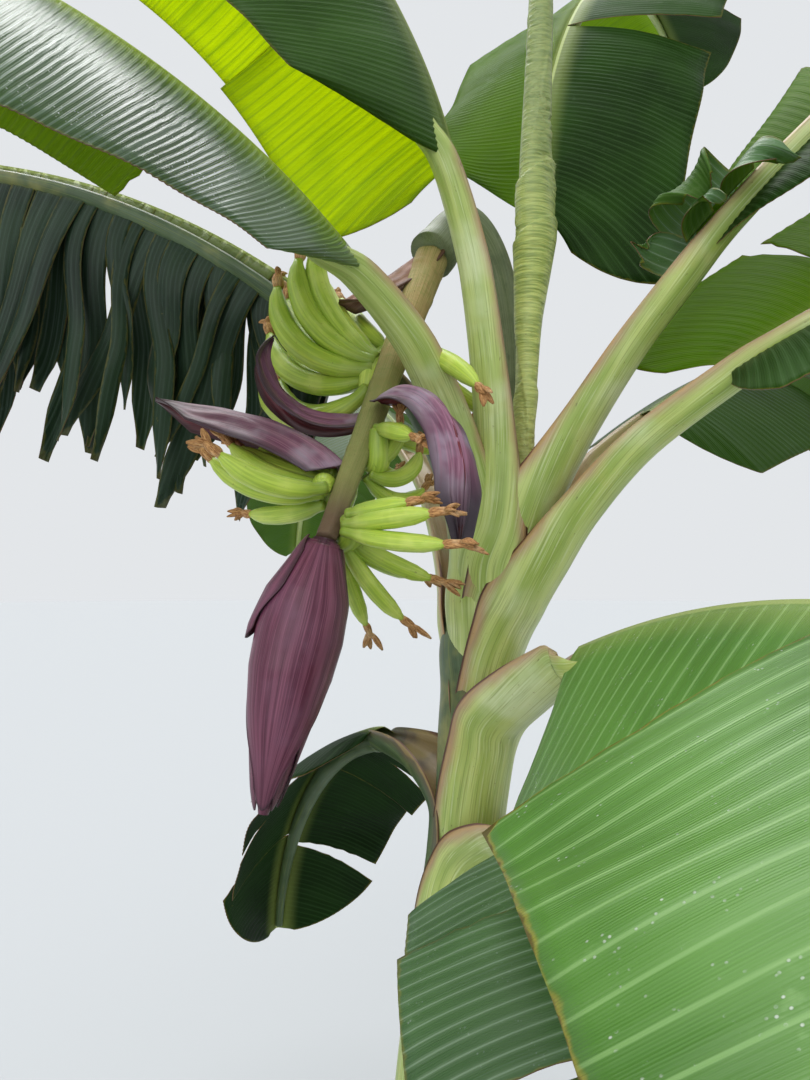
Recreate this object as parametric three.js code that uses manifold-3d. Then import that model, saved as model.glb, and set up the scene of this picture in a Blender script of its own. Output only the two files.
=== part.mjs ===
// A fruiting dwarf banana plant: a pseudostem, arching leaves, a rolled leaf and a hanging bunch
// with its purple bud. Millimetres, +Z up, the origin on the ground under the pseudostem.
// +X is to the right and +Y away from the side the bunch hangs on.
import * as THREE from "three";
import { mergeVertices } from "three/addons/utils/BufferGeometryUtils.js";
import Module from "manifold-3d";

const wasm = await Module();
wasm.setup();

const gap = 0.35;
const trunkTop = 1445;
const trunkLean = 108;
const trunkRadii = [
  [0, 122],
  [40, 108],
  [300, 93],
  [600, 81],
  [900, 68],
  [1100, 58],
  [1300, 60],
  [1445, 70],
];
const bladeThickness = 15;
const tearWidth = 9;

// One row per leaf: azimuth is the heading it leaves on, pitch its rise, bend what the stalk loses
// of it, droop what the blade loses of it, swing the turn of the heading, lift and curl the two
// halves (left, right) and tears the places along the blade where each half is torn to the rib.
// Over its first share, the taper, a blade widens evenly.
const leaves = {
  leaf_1: {
    foot: [86, -24, 1130], start: [99, -43, 1230], azimuth: -46, pitch: 57, bend: 38, swing: -55,
    swingPower: 0.5, stalk: 230, blade: 1500, width: 640, droop: 83.5, power: 1.1,
    lift: [-35, -46], curl: [-20, -12], backSweep: [0.1, 0.05], radius: 30,
    tears: [[0.35, 0.68], [0.26, 0.62]], flaps: [[0, 0, 0], [0, 27, 10]],
  },
  leaf_2: {
    foot: [84, 20, 1290], start: [88, 52, 1440], azimuth: 160, pitch: 88, bend: 48, swing: 26,
    stalk: 500, blade: 1350, width: 940, droop: 66, power: 1.2,
    lift: [-76, -70], curl: [-22, -22], backSweep: [0.25, 0.25], radius: 28,
    tears: [
      [0.12, 0.22, 0.32, 0.42, 0.58, 0.7, 0.82],
      [0.16, 0.28, 0.4, 0.6, 0.75],
    ],
  },
  leaf_3: {
    foot: [98, 0, 1270], start: [123, -10, 1381], azimuth: -25, pitch: 68, bend: 40, swing: -7,
    stalk: 470, blade: 1500, width: 500, droop: 68, power: 1.2,
    lift: [54, -12], curl: [-15, -20], backSweep: [1.1, 0.2], radius: 32,
    tears: [[0.34, 0.7], [0.25, 0.66]],
  },
  leaf_4: {
    foot: [88, 0, 1360], start: [93, -4, 1510], azimuth: 234, pitch: 73, bend: 37, swing: -49,
    stalk: 420, blade: 1450, width: 500, droop: 100, power: 1.2,
    lift: [-46, 4], curl: [-25, -25], backSweep: [-0.5, 0.12], radius: 30,
    tears: [[0.33, 0.72], [0.17, 0.5, 0.74]], flaps: [[0, -4, 2], [34, 2, -4, 2]],
  },
  leaf_5: {
    foot: [108, 0, 1370], start: [130, 0, 1503], azimuth: -25, pitch: 64, bend: 17, swing: -8,
    stalk: 450, blade: 1500, width: 500, droop: 82, power: 1.2,
    lift: [60, -28], curl: [-15, -20], backSweep: [0.2, 0.2], radius: 30, taper: 0.25,
    tears: [[0.07, 0.38, 0.7], [0.3, 0.66]],
  },
  leaf_6: {
    foot: [112, -20, 1420], start: [121, -30, 1542], azimuth: 205, pitch: 88, bend: 12, swing: -14,
    stalk: 510, blade: 1600, width: 580, droop: 122, power: 1,
    lift: [-62, -38], curl: [-40, -25], backSweep: [-0.35, 0.5], radius: 29,
    tears: [[0.36, 0.74], [0.2, 0.68]],
  },
  leaf_7: {
    foot: [120, 40, 1400], start: [128, 56, 1590], azimuth: 55, pitch: 75, bend: -3, swing: 3,
    stalk: 500, blade: 1600, width: 560, droop: 92, power: 1.2,
    lift: [-4, -14], curl: [-20, -25], backSweep: [-0.9, 1.0], radius: 22,
    tears: [[0.36, 0.7], [0.3, 0.66]],
  },
  leaf_8: {
    foot: [104, 30, 1270], start: [135, 55, 1390], azimuth: 28, pitch: 66, bend: 34, swing: 10,
    stalk: 480, blade: 1500, width: 520, droop: 84, power: 1.2,
    lift: [-12, -30], curl: [-20, -20], backSweep: [0.2, 0.2], radius: 28,
    tears: [[0.28, 0.7], [0.2, 0.4, 0.66]],
  },
  leaf_9: {
    foot: [88, 36, 1230], start: [90, 68, 1340], azimuth: 112, pitch: 72, bend: 38, swing: -8,
    stalk: 480, blade: 1500, width: 520, droop: 92, power: 1.2,
    lift: [-22, -18], curl: [-20, -20], backSweep: [0.2, 0.2], radius: 28,
    tears: [[0.3, 0.64], [0.2, 0.42, 0.72]],
  },
  leaf_10: {
    foot: [66, 20, 1020], start: [56, 44, 1120], azimuth: 122, pitch: 48, bend: 52, swing: 14,
    stalk: 220, blade: 640, width: 420, droop: 84, power: 0.75,
    lift: [-14, -24], curl: [-20, -20], backSweep: [0.2, 0.2], radius: 27,
    tears: [[0.25, 0.66], [0.36, 0.7]],
  },
  leaf_11: {
    foot: [72, -10, 950], start: [95, -48, 1050], azimuth: -75, pitch: 52, bend: 42, swing: -15,
    stalk: 220, blade: 1000, width: 430, droop: 86, power: 0.5,
    lift: [-20, -12], curl: [-20, -20], backSweep: [0.2, 0.2], radius: 27,
    tears: [[0.3, 0.66], [0.12, 0.28, 0.66]],
  },
};

const rolledPath = [
  [142, 12, 1400],
  [152, 12, 1560],
  [159, 10, 1690],
  [166, 10, 1828],
  [178, 8, 1967],
  [181, 2, 2134],
  [187, -8, 2331],
  [196, -4, 2600],
  [214, 10, 2960],
];
const rolledRadii = [20, 18, 17, 26, 33, 24, 28, 23, 5];

const stalkPath = [
  [112, 46, 1400],
  [138, 78, 1600],
  [150, 112, 1810],
  [128, 124, 1965],
  [76, 98, 2030],
  [22, 54, 1962],
];
const rachisTop = new THREE.Vector3(18, 50, 1945);
const rachisEnd = new THREE.Vector3(-117, -200, 1500);
const budTip = new THREE.Vector3(-182, -244, 1184);
const budRadii = [17, 30, 44, 48, 45, 36, 24, 13, 4];

// Each finger: turn round the stalk, place down it, length, first dip and how far it curls up. The
// cushion is the bar the fingers of a hand stand on, as turns and places.
const hands = {
  hand_top: {
    radius: 18,
    cushion: [[-40, 184], [-22, 215], [-14, 245], [-24, 266]],
    fingers: [
      [-41, 180, 192, -41, 17],
      [-17, 209, 214, -33, 33],
      [-31, 214, 218, -11, 66],
      [-15, 225, 226, 6, 81],
      [-32, 233, 232, 14, 86],
      [-19, 245, 236, 22, 92],
      [-34, 260, 242, 36, 109],
      [-21, 267, 232, 54, 127],
      [2, 220, 226, -20, 60],
      [4, 226, 226, 0, 82],
      [0, 238, 228, 18, 97],
    ],
  },
  hand_top_back: {
    radius: 14,
    cushion: [[142, 198], [190, 186], [232, 180]],
    fingers: [
      [142, 200, 164, 27, -24],
      [234, 178, 165, -21, -14],
      [222, 189, 166, -4, 7],
    ],
  },
  hand_left: {
    radius: 15,
    cushion: [[-84, 466], [-35, 448], [0, 448], [30, 462]],
    fingers: [
      [34, 462, 144, 41, 54],
      [-13, 437, 148, -2, 26],
      [-22, 423, 141, -9, 20],
      [13, 466, 152, 34, 63],
      [-31, 470, 133, 11, 24],
      [-39, 463, 81, -41, 24],
      [-88, 468, 84, -59, 17],
      [-3, 447, 151, 14, 52],
    ],
  },
  hand_right: {
    radius: 12,
    cushion: [[134, 358], [190, 388], [225, 385], [250, 350]],
    fingers: [
      [132, 357, 108, 25, -7],
      [190, 400, 75, -48, 60],
      [255, 345, 117, 30, 91],
      [211, 408, 97, 2, 106],
      [224, 335, 103, -19, 10],
      [230, 410, 124, 18, 91],
    ],
  },
  hand_bottom: {
    radius: 13,
    cushion: [[143, 500], [190, 507], [230, 512], [252, 510]],
    fingers: [
      [143, 493, 96, 5, 5],
      [144, 509, 133, 4, 1],
      [149, 518, 151, 18, 13],
      [220, 507, 139, 2, 18],
      [233, 512, 148, 24, 25],
      [253, 510, 150, 23, 14],
      [230, 513, 137, -6, 15],
    ],
  },
};
const cushionRadius = 15;

// Bracts follow the same rule as a leaf with no stalk.
const bracts = {
  bract_left: {
    start: [-90, -156, 1592], azimuth: 150, pitch: 50, bend: 0, swing: 50, stalk: 10, blade: 282,
    width: 120, droop: 50, power: 0.6, lift: [-22, -22], curl: [-50, -50],
  },
  bract_right: {
    start: [-66, -112, 1684], azimuth: -42, pitch: 38, bend: 0, swing: -25, stalk: 10, blade: 325,
    width: 110, droop: 150, power: 0.7, lift: [-20, -20], curl: [-60, -60],
  },
  bract_small: {
    start: [-66, -66, 1690], azimuth: 192, pitch: -14, bend: 0, swing: 0, stalk: 10, blade: 200,
    width: 80, droop: -125, power: 1.4, lift: [-20, -20], curl: [-60, -60],
  },
  bract_dry: {
    start: [30, 62, 1990], azimuth: 205, pitch: -42, bend: 0, swing: 0, stalk: 10, blade: 200,
    width: 90, droop: -10, power: 1, lift: [-25, -25], curl: [-40, -40],
  },
};

const rad = THREE.MathUtils.degToRad;

function vec(a) {
  return new THREE.Vector3(a[0], a[1], a[2]);
}

// A three.js geometry as one welded solid.
function solidOf(geometry) {
  geometry.deleteAttribute("normal");
  geometry.deleteAttribute("uv");
  const welded = mergeVertices(geometry, 1e-3);
  return new wasm.Manifold(
    new wasm.Mesh({
      numProp: 3,
      vertProperties: welded.attributes.position.array,
      triVerts: new Uint32Array(welded.index.array),
    }),
  );
}

function bend(geometry, place) {
  const position = geometry.attributes.position;
  for (let i = 0; i < position.count; i++) {
    const p = place(position.getX(i), position.getY(i), position.getZ(i));
    position.setXYZ(i, p.x, p.y, p.z);
  }
  return geometry;
}

// A round bar along stations of {p, S, N}, with a radius at each.
function bar(frameAt, radiusAt, sides, steps) {
  const cylinder = new THREE.CylinderGeometry(1, 1, 1, sides, steps);
  return solidOf(
    bend(cylinder, (x, y, z) => {
      const f = frameAt(y + 0.5);
      const r = radiusAt(y + 0.5);
      return f.p.clone().addScaledVector(f.N, r * x).addScaledVector(f.S, r * z);
    }),
  );
}

// A round bar along a curve, on frames that don't twist.
function barAlong(curve, radiusAt, sides, steps, grow) {
  const turned = curve.computeFrenetFrames(steps, false);
  const frame = (t) => {
    const i = Math.round(t * steps);
    const p = curve.getPointAt(i / steps);
    const end = i === 0 ? -1 : i === steps ? 1 : 0;
    p.addScaledVector(turned.tangents[i], grow * end);
    return { p, N: turned.normals[i], S: turned.binormals[i].clone().negate() };
  };
  return bar(frame, (t) => radiusAt(t) + grow, sides, steps);
}

function steppedRadius(radii) {
  return (t) => {
    const k = t * (radii.length - 1);
    const i = Math.min(Math.floor(k), radii.length - 2);
    return radii[i] + (radii[i + 1] - radii[i]) * (k - i);
  };
}

// The line of a leaf from the start of its stalk to its tip, as evenly spaced frames.
function spineOf(leaf) {
  const total = leaf.stalk + leaf.blade;
  const steps = Math.round(total / 10);
  const frames = [];
  const p = vec(leaf.start);
  let previous = null;
  for (let i = 0; i <= steps; i++) {
    const s = (total * i) / steps;
    const inStalk = Math.min(s / leaf.stalk, 1);
    const along = Math.max((s - leaf.stalk) / leaf.blade, 0);
    const rise = rad(leaf.pitch - leaf.bend * inStalk - leaf.droop * along ** leaf.power);
    const heading = rad(leaf.azimuth + leaf.swing * (s / total) ** (leaf.swingPower || 1));
    const T = new THREE.Vector3(
      Math.cos(rise) * Math.cos(heading),
      Math.cos(rise) * Math.sin(heading),
      Math.sin(rise),
    );
    const S = new THREE.Vector3(-Math.sin(heading), Math.cos(heading), 0);
    const N = new THREE.Vector3().crossVectors(T, S);
    if (previous) p.addScaledVector(previous.clone().add(T), total / steps / 2);
    previous = T;
    frames.push({ p: p.clone(), T, S, N });
  }
  return { frames, total };
}

function frameAt(spine, s) {
  const k = (Math.min(Math.max(s / spine.total, 0), 1)) * (spine.frames.length - 1);
  const i = Math.min(Math.floor(k), spine.frames.length - 2);
  const a = spine.frames[i];
  const b = spine.frames[i + 1];
  const mix = (m, n) => m.clone().lerp(n, k - i);
  return {
    p: mix(a.p, b.p),
    T: mix(a.T, b.T).normalize(),
    S: mix(a.S, b.S).normalize(),
    N: mix(a.N, b.N).normalize(),
  };
}

// Share of the full width at each place along a blade, for leaves and for bracts.
function bladeShape(t) {
  const body = Math.max(1 - Math.abs((t - 0.4) / 0.6) ** 2.8, 0) ** 0.62;
  return body * Math.sqrt(Math.min(Math.max(t / 0.035, 0), 1));
}

function bractShape(t) {
  return 0.25 + 0.75 * Math.max(1 - Math.abs((t - 0.42) / 0.6) ** 2.4, 0) ** 0.7;
}

// A point of one half of a blade: t along it, w from rib to margin, up off its surface.
function bladePoint(leaf, spine, shape, side, t, w, up, extraLift) {
  const f = frameAt(spine, leaf.stalk + leaf.blade * t);
  const i = side > 0 ? 0 : 1;
  const lift = rad(leaf.lift[i] + extraLift);
  const curl = rad(leaf.curl[i]);
  const half = (leaf.width / 2) * shape(t) * Math.min(t / (leaf.taper || 0.001), 1);
  const turn = (curl * w) / 2;
  const reach = half * w * (Math.abs(turn) < 1e-6 ? 1 : Math.sin(turn) / turn);
  const across = f.S.clone().multiplyScalar(side * Math.cos(lift + turn));
  across.addScaledVector(f.N, Math.sin(lift + turn));
  const normal = f.S.clone().multiplyScalar(-side * Math.sin(lift + curl * w));
  normal.addScaledVector(f.N, Math.cos(lift + curl * w));
  const base = leaf.backSweep ? leaf.backSweep[i] : 0;
  const back = 0.22 * (1 - Math.exp(-t / 0.25)) - base * Math.exp(-t / 0.12);
  return f.p
    .clone()
    .addScaledVector(across, reach)
    .addScaledVector(f.T, back * half * w ** 1.6)
    .addScaledVector(normal, up);
}

// One piece of a half blade, between two tears.
function bladePiece(leaf, spine, side, from, to, extraLift, grow) {
  const length = (to - from) * leaf.blade;
  const steps = Math.max(1, Math.round(length / 210));
  const box = new THREE.BoxGeometry(1, 1, 1, steps, 2, 1);
  const half = bladeThickness / 2 + grow;
  return solidOf(
    bend(box, (x, y, z) => {
      const w = side > 0 ? y + 0.5 : 0.5 - y;
      const slit = (tearWidth * (0.2 + 0.8 * w)) / leaf.blade;
      const edge = grow / leaf.blade;
      const start = from + (from > 0 ? slit : 0) - edge;
      const end = to - (to < 1 ? slit : 0.012) + edge;
      const t = start + (end - start) * (x + 0.5);
      const reach = w * (1 + grow / 200);
      const clamped = Math.min(Math.max(t, 0.004), 0.99);
      return bladePoint(leaf, spine, bladeShape, side, clamped, reach, 2 * half * z, extraLift);
    }),
  );
}

function liftOf(index, side) {
  return 5 * Math.sin(2.7 * index + 1.3 * side);
}

// The rib and torn pieces of a blade between two places along it.
function bladeBetween(leaf, spine, from, to, grow) {
  const s0 = leaf.stalk + leaf.blade * from + (from > 0 ? 0.4 : 1) - grow;
  const s1 = leaf.stalk + leaf.blade * Math.min(to, 0.975) + grow;
  const ribRadius = (t) => leaf.radius * (0.82 - 0.56 * (from + (to - from) * t)) + grow;
  const rib = bar((t) => frameAt(spine, s0 + (s1 - s0) * t), ribRadius, 5, 4);
  const pieces = [rib];
  for (const side of [1, -1]) {
    const cuts = [0, ...leaf.tears[side > 0 ? 0 : 1], 1];
    for (let i = 0; i < cuts.length - 1; i++) {
      const a = Math.max(cuts[i], from);
      const b = Math.min(cuts[i + 1], to);
      if (b - a > 0.03) {
        const flap = leaf.flaps ? leaf.flaps[side > 0 ? 0 : 1][i] : liftOf(i, side);
        pieces.push(bladePiece(leaf, spine, side, a, b, flap, grow));
      }
    }
  }
  return wasm.Manifold.union(pieces);
}

function leafStalk(leaf, spine, grow) {
  const points = [vec(leaf.foot)];
  for (const share of [0, 0.25, 0.5, 0.75, 1]) {
    points.push(frameAt(spine, leaf.stalk * share).p);
  }
  const curve = new THREE.CatmullRomCurve3(points);
  const radius = (t) => leaf.radius * (0.85 + 0.7 * (1 - t) ** 2);
  return barAlong(curve, radius, 7, 6, grow);
}

function trunk(grow) {
  const axis = (z) => new THREE.Vector3(trunkLean * (Math.max(z, 0) / 1480) ** 1.4, 0, z);
  const cylinder = new THREE.CylinderGeometry(1, 1, 1, 20, 10);
  return solidOf(
    bend(cylinder, (x, y, z) => {
      const share = (y + 0.5) ** 1.25;
      const height = trunkTop * share;
      const radius = radiusAtHeight(height) * (1 + lobe(x, z, share));
      const c = axis(height);
      const end = grow * (share > 0.99 ? 1 : 0);
      return new THREE.Vector3(c.x + (radius + grow) * z, (radius + grow) * x, height + end);
    }),
  );
}

function lobe(x, z, share) {
  return 0.07 * Math.exp(-share / 0.05) * Math.sin(5 * Math.atan2(x, z) + 0.6);
}

function radiusAtHeight(z) {
  for (let i = 1; i < trunkRadii.length; i++) {
    const [z0, r0] = trunkRadii[i - 1];
    const [z1, r1] = trunkRadii[i];
    if (z <= z1) return r0 + ((r1 - r0) * (z - z0)) / (z1 - z0);
  }
  return trunkRadii.at(-1)[1];
}

function rachisPoint(down) {
  const way = rachisEnd.clone().sub(rachisTop).normalize();
  return rachisTop.clone().addScaledVector(way, down);
}

function rachisAxes() {
  const down = rachisEnd.clone().sub(rachisTop).normalize();
  const left = new THREE.Vector3(-1, 0, 0);
  left.addScaledVector(down, -left.dot(down)).normalize();
  const back = new THREE.Vector3().crossVectors(left, down).normalize();
  if (back.y < 0) back.negate();
  return { down, left, back };
}

// The way out of the fruit stalk at a turn round it.
function outFrom(phi) {
  const { left, back } = rachisAxes();
  return left.multiplyScalar(Math.cos(rad(phi))).addScaledVector(back, -Math.sin(rad(phi)));
}

// A finger leaves the stalk sideways and curls up.
function finger([phi, place, length, dip, curl], radius, grow) {
  const out = outFrom(phi);
  const up = rachisAxes().down.multiplyScalar(-0.5).add(new THREE.Vector3(0, 0, 0.5));
  up.addScaledVector(out, -up.dot(out)).normalize();
  const steps = 4;
  const points = [rachisPoint(place).addScaledVector(out, 24)];
  for (let i = 1; i <= steps; i++) {
    const turn = rad(-dip + (curl * (i - 0.5)) / steps);
    const way = out.clone().multiplyScalar(Math.cos(turn)).addScaledVector(up, Math.sin(turn));
    points.push(points.at(-1).clone().addScaledVector(way, length / steps));
  }
  const curve = new THREE.CatmullRomCurve3(points);
  const radii = [0.6 * radius, radius, 1.05 * radius, 0.95 * radius, 0.42 * radius];
  return barAlong(curve, steppedRadius(radii), 5, steps, grow);
}

function handSolid(hand, grow) {
  const arc = hand.cushion.map(([phi, place]) => rachisPoint(place).addScaledVector(outFrom(phi), 28));
  const cushion = barAlong(new THREE.CatmullRomCurve3(arc), () => cushionRadius, 6, 5, grow);
  const fingers = hand.fingers.map((row) => finger(row, hand.radius, grow));
  return wasm.Manifold.union([cushion, ...fingers]);
}

function bract(spec, grow) {
  const spine = spineOf(spec);
  const box = new THREE.BoxGeometry(1, 1, 1, 5, 4, 1);
  return solidOf(
    bend(box, (x, y, z) => {
      const t = 0.01 + 0.98 * (x + 0.5);
      const w = 2 * y * (1 + grow / 40);
      const up = (5 + 2 * grow) * z;
      const end = grow * 2 * x;
      const p = bladePoint(spec, spine, bractShape, w < 0 ? -1 : 1, t, Math.abs(w), up, 0);
      return p.addScaledVector(frameAt(spine, spec.stalk + spec.blade * t).T, end);
    }),
  );
}

function bud(grow) {
  const curve = new THREE.CatmullRomCurve3([
    rachisEnd.clone(),
    rachisEnd.clone().lerp(budTip, 0.5).add(new THREE.Vector3(-6, -4, 0)),
    budTip.clone(),
  ]);
  return barAlong(curve, steppedRadius(budRadii), 12, 8, grow);
}

function stalkUpper(grow) {
  const curve = new THREE.CatmullRomCurve3(stalkPath.map(vec));
  return barAlong(curve, (t) => 27 + 9 * Math.max(t - 0.6, 0) / 0.4, 8, 12, grow);
}

function stalkLower(grow) {
  const curve = new THREE.LineCurve3(rachisPoint(3), rachisPoint(522));
  return barAlong(curve, (t) => 27 - 11 * t, 8, 4, grow);
}

const group = new THREE.Group();
const taken = [];

function overlaps(a, b) {
  for (let i = 0; i < 3; i++) {
    if (a.min[i] > b.max[i] || b.min[i] > a.max[i]) return false;
  }
  return true;
}

// Adds a node, cut clear of every node before it, and keeps its main body.
function add(name, build, colour, roughness) {
  let body = build(0);
  const box = body.boundingBox();
  for (const other of taken) {
    if (overlaps(box, other.box)) body = body.subtract(other.fat);
  }
  const bodies = body.decompose().sort((a, b) => b.volume() - a.volume());
  const kept = bodies[0].simplify(0.12);
  const fat = build(gap);
  taken.push({ fat, box: fat.boundingBox() });
  const mesh = kept.getMesh();
  const count = mesh.numVert;
  const position = new Float32Array(count * 3);
  for (let i = 0; i < count; i++) {
    for (let k = 0; k < 3; k++) position[3 * i + k] = mesh.vertProperties[i * mesh.numProp + k];
  }
  const geometry = new THREE.BufferGeometry();
  geometry.setAttribute("position", new THREE.BufferAttribute(position, 3));
  geometry.setIndex(new THREE.BufferAttribute(mesh.triVerts, 1));
  geometry.computeVertexNormals();
  const material = new THREE.MeshStandardMaterial({ color: colour, roughness, metalness: 0 });
  const node = new THREE.Mesh(geometry, material);
  node.name = name;
  group.add(node);
}

add("trunk", trunk, 0xa9b56a, 0.6);
add("fruit_stalk_upper", stalkUpper, 0x6f7f4a, 0.6);
add("fruit_stalk_lower", stalkLower, 0xa98b5e, 0.7);
add("rolled_leaf", (grow) => {
  const curve = new THREE.CatmullRomCurve3(rolledPath.map(vec));
  return barAlong(curve, steppedRadius(rolledRadii), 8, 16, grow);
}, 0xb9c873, 0.5);
for (const [name, leaf] of Object.entries(leaves)) {
  add(name + "_stalk", (grow) => leafStalk(leaf, spineOf(leaf), grow), 0xa3b765, 0.5);
}
add("bud", bud, 0x5f2438, 0.5);
for (const [name, spec] of Object.entries(hands)) {
  add(name, (grow) => handSolid(spec, grow), 0x8fae4c, 0.5);
}
for (const [name, spec] of Object.entries(bracts)) {
  add(name, (grow) => bract(spec, grow), 0x5b3346, 0.6);
}
for (const [name, leaf] of Object.entries(leaves)) {
  const spine = spineOf(leaf);
  add(name + "_blade_inner", (grow) => bladeBetween(leaf, spine, 0, 0.5, grow), 0x4f8a35, 0.5);
  add(name + "_blade_outer", (grow) => bladeBetween(leaf, spine, 0.5, 1, grow), 0x4f8a35, 0.5);
}

export default group;
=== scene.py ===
import bpy
import bmesh
import math
import random
import numpy as np
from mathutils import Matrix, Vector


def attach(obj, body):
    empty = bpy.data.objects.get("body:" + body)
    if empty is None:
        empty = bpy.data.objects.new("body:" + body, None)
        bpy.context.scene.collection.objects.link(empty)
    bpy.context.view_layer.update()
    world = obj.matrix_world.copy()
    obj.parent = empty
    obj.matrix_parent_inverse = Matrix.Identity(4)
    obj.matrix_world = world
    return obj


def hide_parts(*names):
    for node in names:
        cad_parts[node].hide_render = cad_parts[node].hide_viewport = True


# A fruiting dwarf banana plant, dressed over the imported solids. Rules are in millimetres, as in the
# part's source, and turned to metres where a vertex is placed. +X right, +Y away, +Z up.
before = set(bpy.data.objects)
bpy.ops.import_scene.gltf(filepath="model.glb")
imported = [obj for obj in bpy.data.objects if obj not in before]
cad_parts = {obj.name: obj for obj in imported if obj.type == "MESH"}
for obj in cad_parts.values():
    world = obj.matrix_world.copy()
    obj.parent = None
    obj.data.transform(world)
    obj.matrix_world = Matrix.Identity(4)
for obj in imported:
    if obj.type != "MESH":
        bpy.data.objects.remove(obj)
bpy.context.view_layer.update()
mm = 0.001
edgeCap = 60  # mm from an edge, past which a pattern takes no notice of it
mergeWithin = 0.01 * mm


def linear(hexText):
    channels = [int(hexText[i:i + 2], 16) / 255 for i in (1, 3, 5)]
    out = [c / 12.92 if c <= 0.04045 else ((c + 0.055) / 1.055) ** 2.4 for c in channels]
    return (*out, 1.0)


# adds a node: an input is a value, a hex colour, or the node or output that feeds it
def addNode(tree, kind, inputs=None, **settings):
    node = tree.nodes.new("ShaderNode" + kind)
    for name, value in settings.items():
        setattr(node, name, value)
    for name, value in (inputs or {}).items():
        if isinstance(value, bpy.types.Node):
            value = next(out for out in value.outputs if out.enabled)
        if isinstance(value, bpy.types.NodeSocket):
            tree.links.new(value, node.inputs[name])
        else:
            node.inputs[name].default_value = linear(value) if isinstance(value, str) else value
    return node


def smooth(x, low, high):
    t = np.clip((x - low) / (high - low), 0, 1)
    return t * t * (3 - 2 * t)


# a smooth line through rows of numbers, at places u from 0 to 1
def throughPoints(points, u):
    pts = np.asarray(points, float)
    last = len(pts) - 1
    k = np.clip(np.asarray(u, float) * last, 0, last - 1e-9)
    i = k.astype(int)
    f = (k - i)[:, None]
    a, b = pts[np.maximum(i - 1, 0)], pts[i]
    c, d = pts[i + 1], pts[np.minimum(i + 2, last)]
    return 0.5 * (2 * b + (c - a) * f + (2 * a - 5 * b + 4 * c - d) * f ** 2
                  + (3 * b - a - 3 * c + d) * f ** 3)


# a few sine waves of random phase, as a gentle unevenness between -1 and 1
def waves(seed, *coords):
    pick = random.Random(seed)
    out = 0
    for n in range(4):
        turn = sum(c * pick.uniform(0.5, 1.5) * (1 + 0.6 * n) for c in coords)
        out = out + np.sin(turn + pick.uniform(0, 6.28)) / (1 + 0.5 * n)
    return out / 2.2


def newBmesh():
    bm = bmesh.new()
    bm.verts.layers.float_vector.new("place")
    return bm


# a grid whose points are moved by a rule of x and y (0 to 1) giving points in mm and pattern places
def sheet(bm, columns, rows, rule, flip=False, material=0):
    verts = bmesh.ops.create_grid(bm, x_segments=columns, y_segments=rows, size=1)["verts"]
    xy = np.array([v.co[:2] for v in verts])
    points, places = rule((xy[:, 0] + 1) / 2, (xy[:, 1] + 1) / 2)
    layer = bm.verts.layers.float_vector["place"]
    for v, p, q in zip(verts, (points * mm).tolist(), places.tolist()):
        v.co = p
        v[layer] = q
    faces = list({f for v in verts for f in v.link_faces})
    for f in faces:
        f.material_index = material
    if flip:
        bmesh.ops.reverse_faces(bm, faces=faces)


# a rule's answer: its points, and the pattern's places with the distance to the nearest edge, in metres
def placed(points, first, second, edge):
    return points, np.stack([first, second, np.clip(edge, 0, edgeCap)], 1) * mm


# a tube on rings of centre, two side axes and radius: its ends close in a point
def tube(bm, rings, sides, ringAt, material=0):
    def rule(x, y):
        index = np.round(x * (rings + 1))
        along = np.clip((index - 1) / (rings - 1), 0, 1)
        inside = ((index > 0) & (index < rings + 1)).astype(float)
        turn = 2 * math.pi * np.where(y > 0.9999, 0, y)
        centre, aside, above, radius, length = ringAt(along, turn)
        points = centre + (radius * inside)[:, None] * turned(aside, above, turn)
        places = np.stack([np.cos(turn), np.sin(turn), length * mm], 1)
        return points, places
    sheet(bm, rings + 1, sides, rule, material=material)


def addObject(name, data):
    obj = bpy.data.objects.new(name, data)
    bpy.context.scene.collection.objects.link(obj)
    return obj


def addMesh(name, bm, materials):
    mesh = bpy.data.meshes.new(name)
    bm.to_mesh(mesh)
    bm.free()
    for m in materials:
        mesh.materials.append(m)
    return addObject(name, mesh)


# an open sheet is given a thickness in mm, a closed piece needs none
def finishPiece(name, bm, materials, nodes, thickness=None):
    bmesh.ops.remove_doubles(bm, verts=bm.verts, dist=mergeWithin)
    if not thickness:
        bmesh.ops.recalc_face_normals(bm, faces=bm.faces)
    obj = addMesh(name, bm, materials)
    obj.data.polygons.foreach_set("use_smooth", [True] * len(obj.data.polygons))
    if thickness:
        solid = obj.modifiers.new("thickness", "SOLIDIFY")
        solid.thickness = thickness * mm
        solid.offset = -1
        solid.material_offset = 1
        solid.material_offset_rim = 2
    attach(obj, "root")
    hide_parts(*nodes)


# a grid is how many rings or columns a piece has, and how many points stand in each
def roundPiece(name, grid, ringAt, look, node):
    bm = newBmesh()
    tube(bm, *grid, ringAt)
    finishPiece(name, bm, [look], [node])


def unit(a):
    return a / np.linalg.norm(a, axis=-1, keepdims=True)


# the way at an angle from one axis towards another, for one angle or for a row of them
def turned(aside, above, angle):
    angle = np.asarray(angle)[..., None]
    return aside * np.cos(angle) + above * np.sin(angle)


# length along a line of points, at each of them
def lengthsOf(line):
    return np.concatenate([[0], np.cumsum(np.linalg.norm(np.diff(line, axis=0), axis=1))])


# two axes square to a line of points: aside is carried along it without twist
def axesAlong(points, side=(1.0, 0, 0)):
    ahead = unit(np.gradient(points, axis=0))
    aside = np.empty_like(ahead)
    for i, way in enumerate(ahead):
        side = aside[i] = unit(side - way * np.dot(side, way))
    return aside, np.cross(ahead, aside)


def sampled(array, u):
    k = np.clip(u, 0, 1) * (len(array) - 1)
    return np.stack([np.interp(k, np.arange(len(array)), array[:, c]) for c in range(array.shape[1])], 1)


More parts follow.
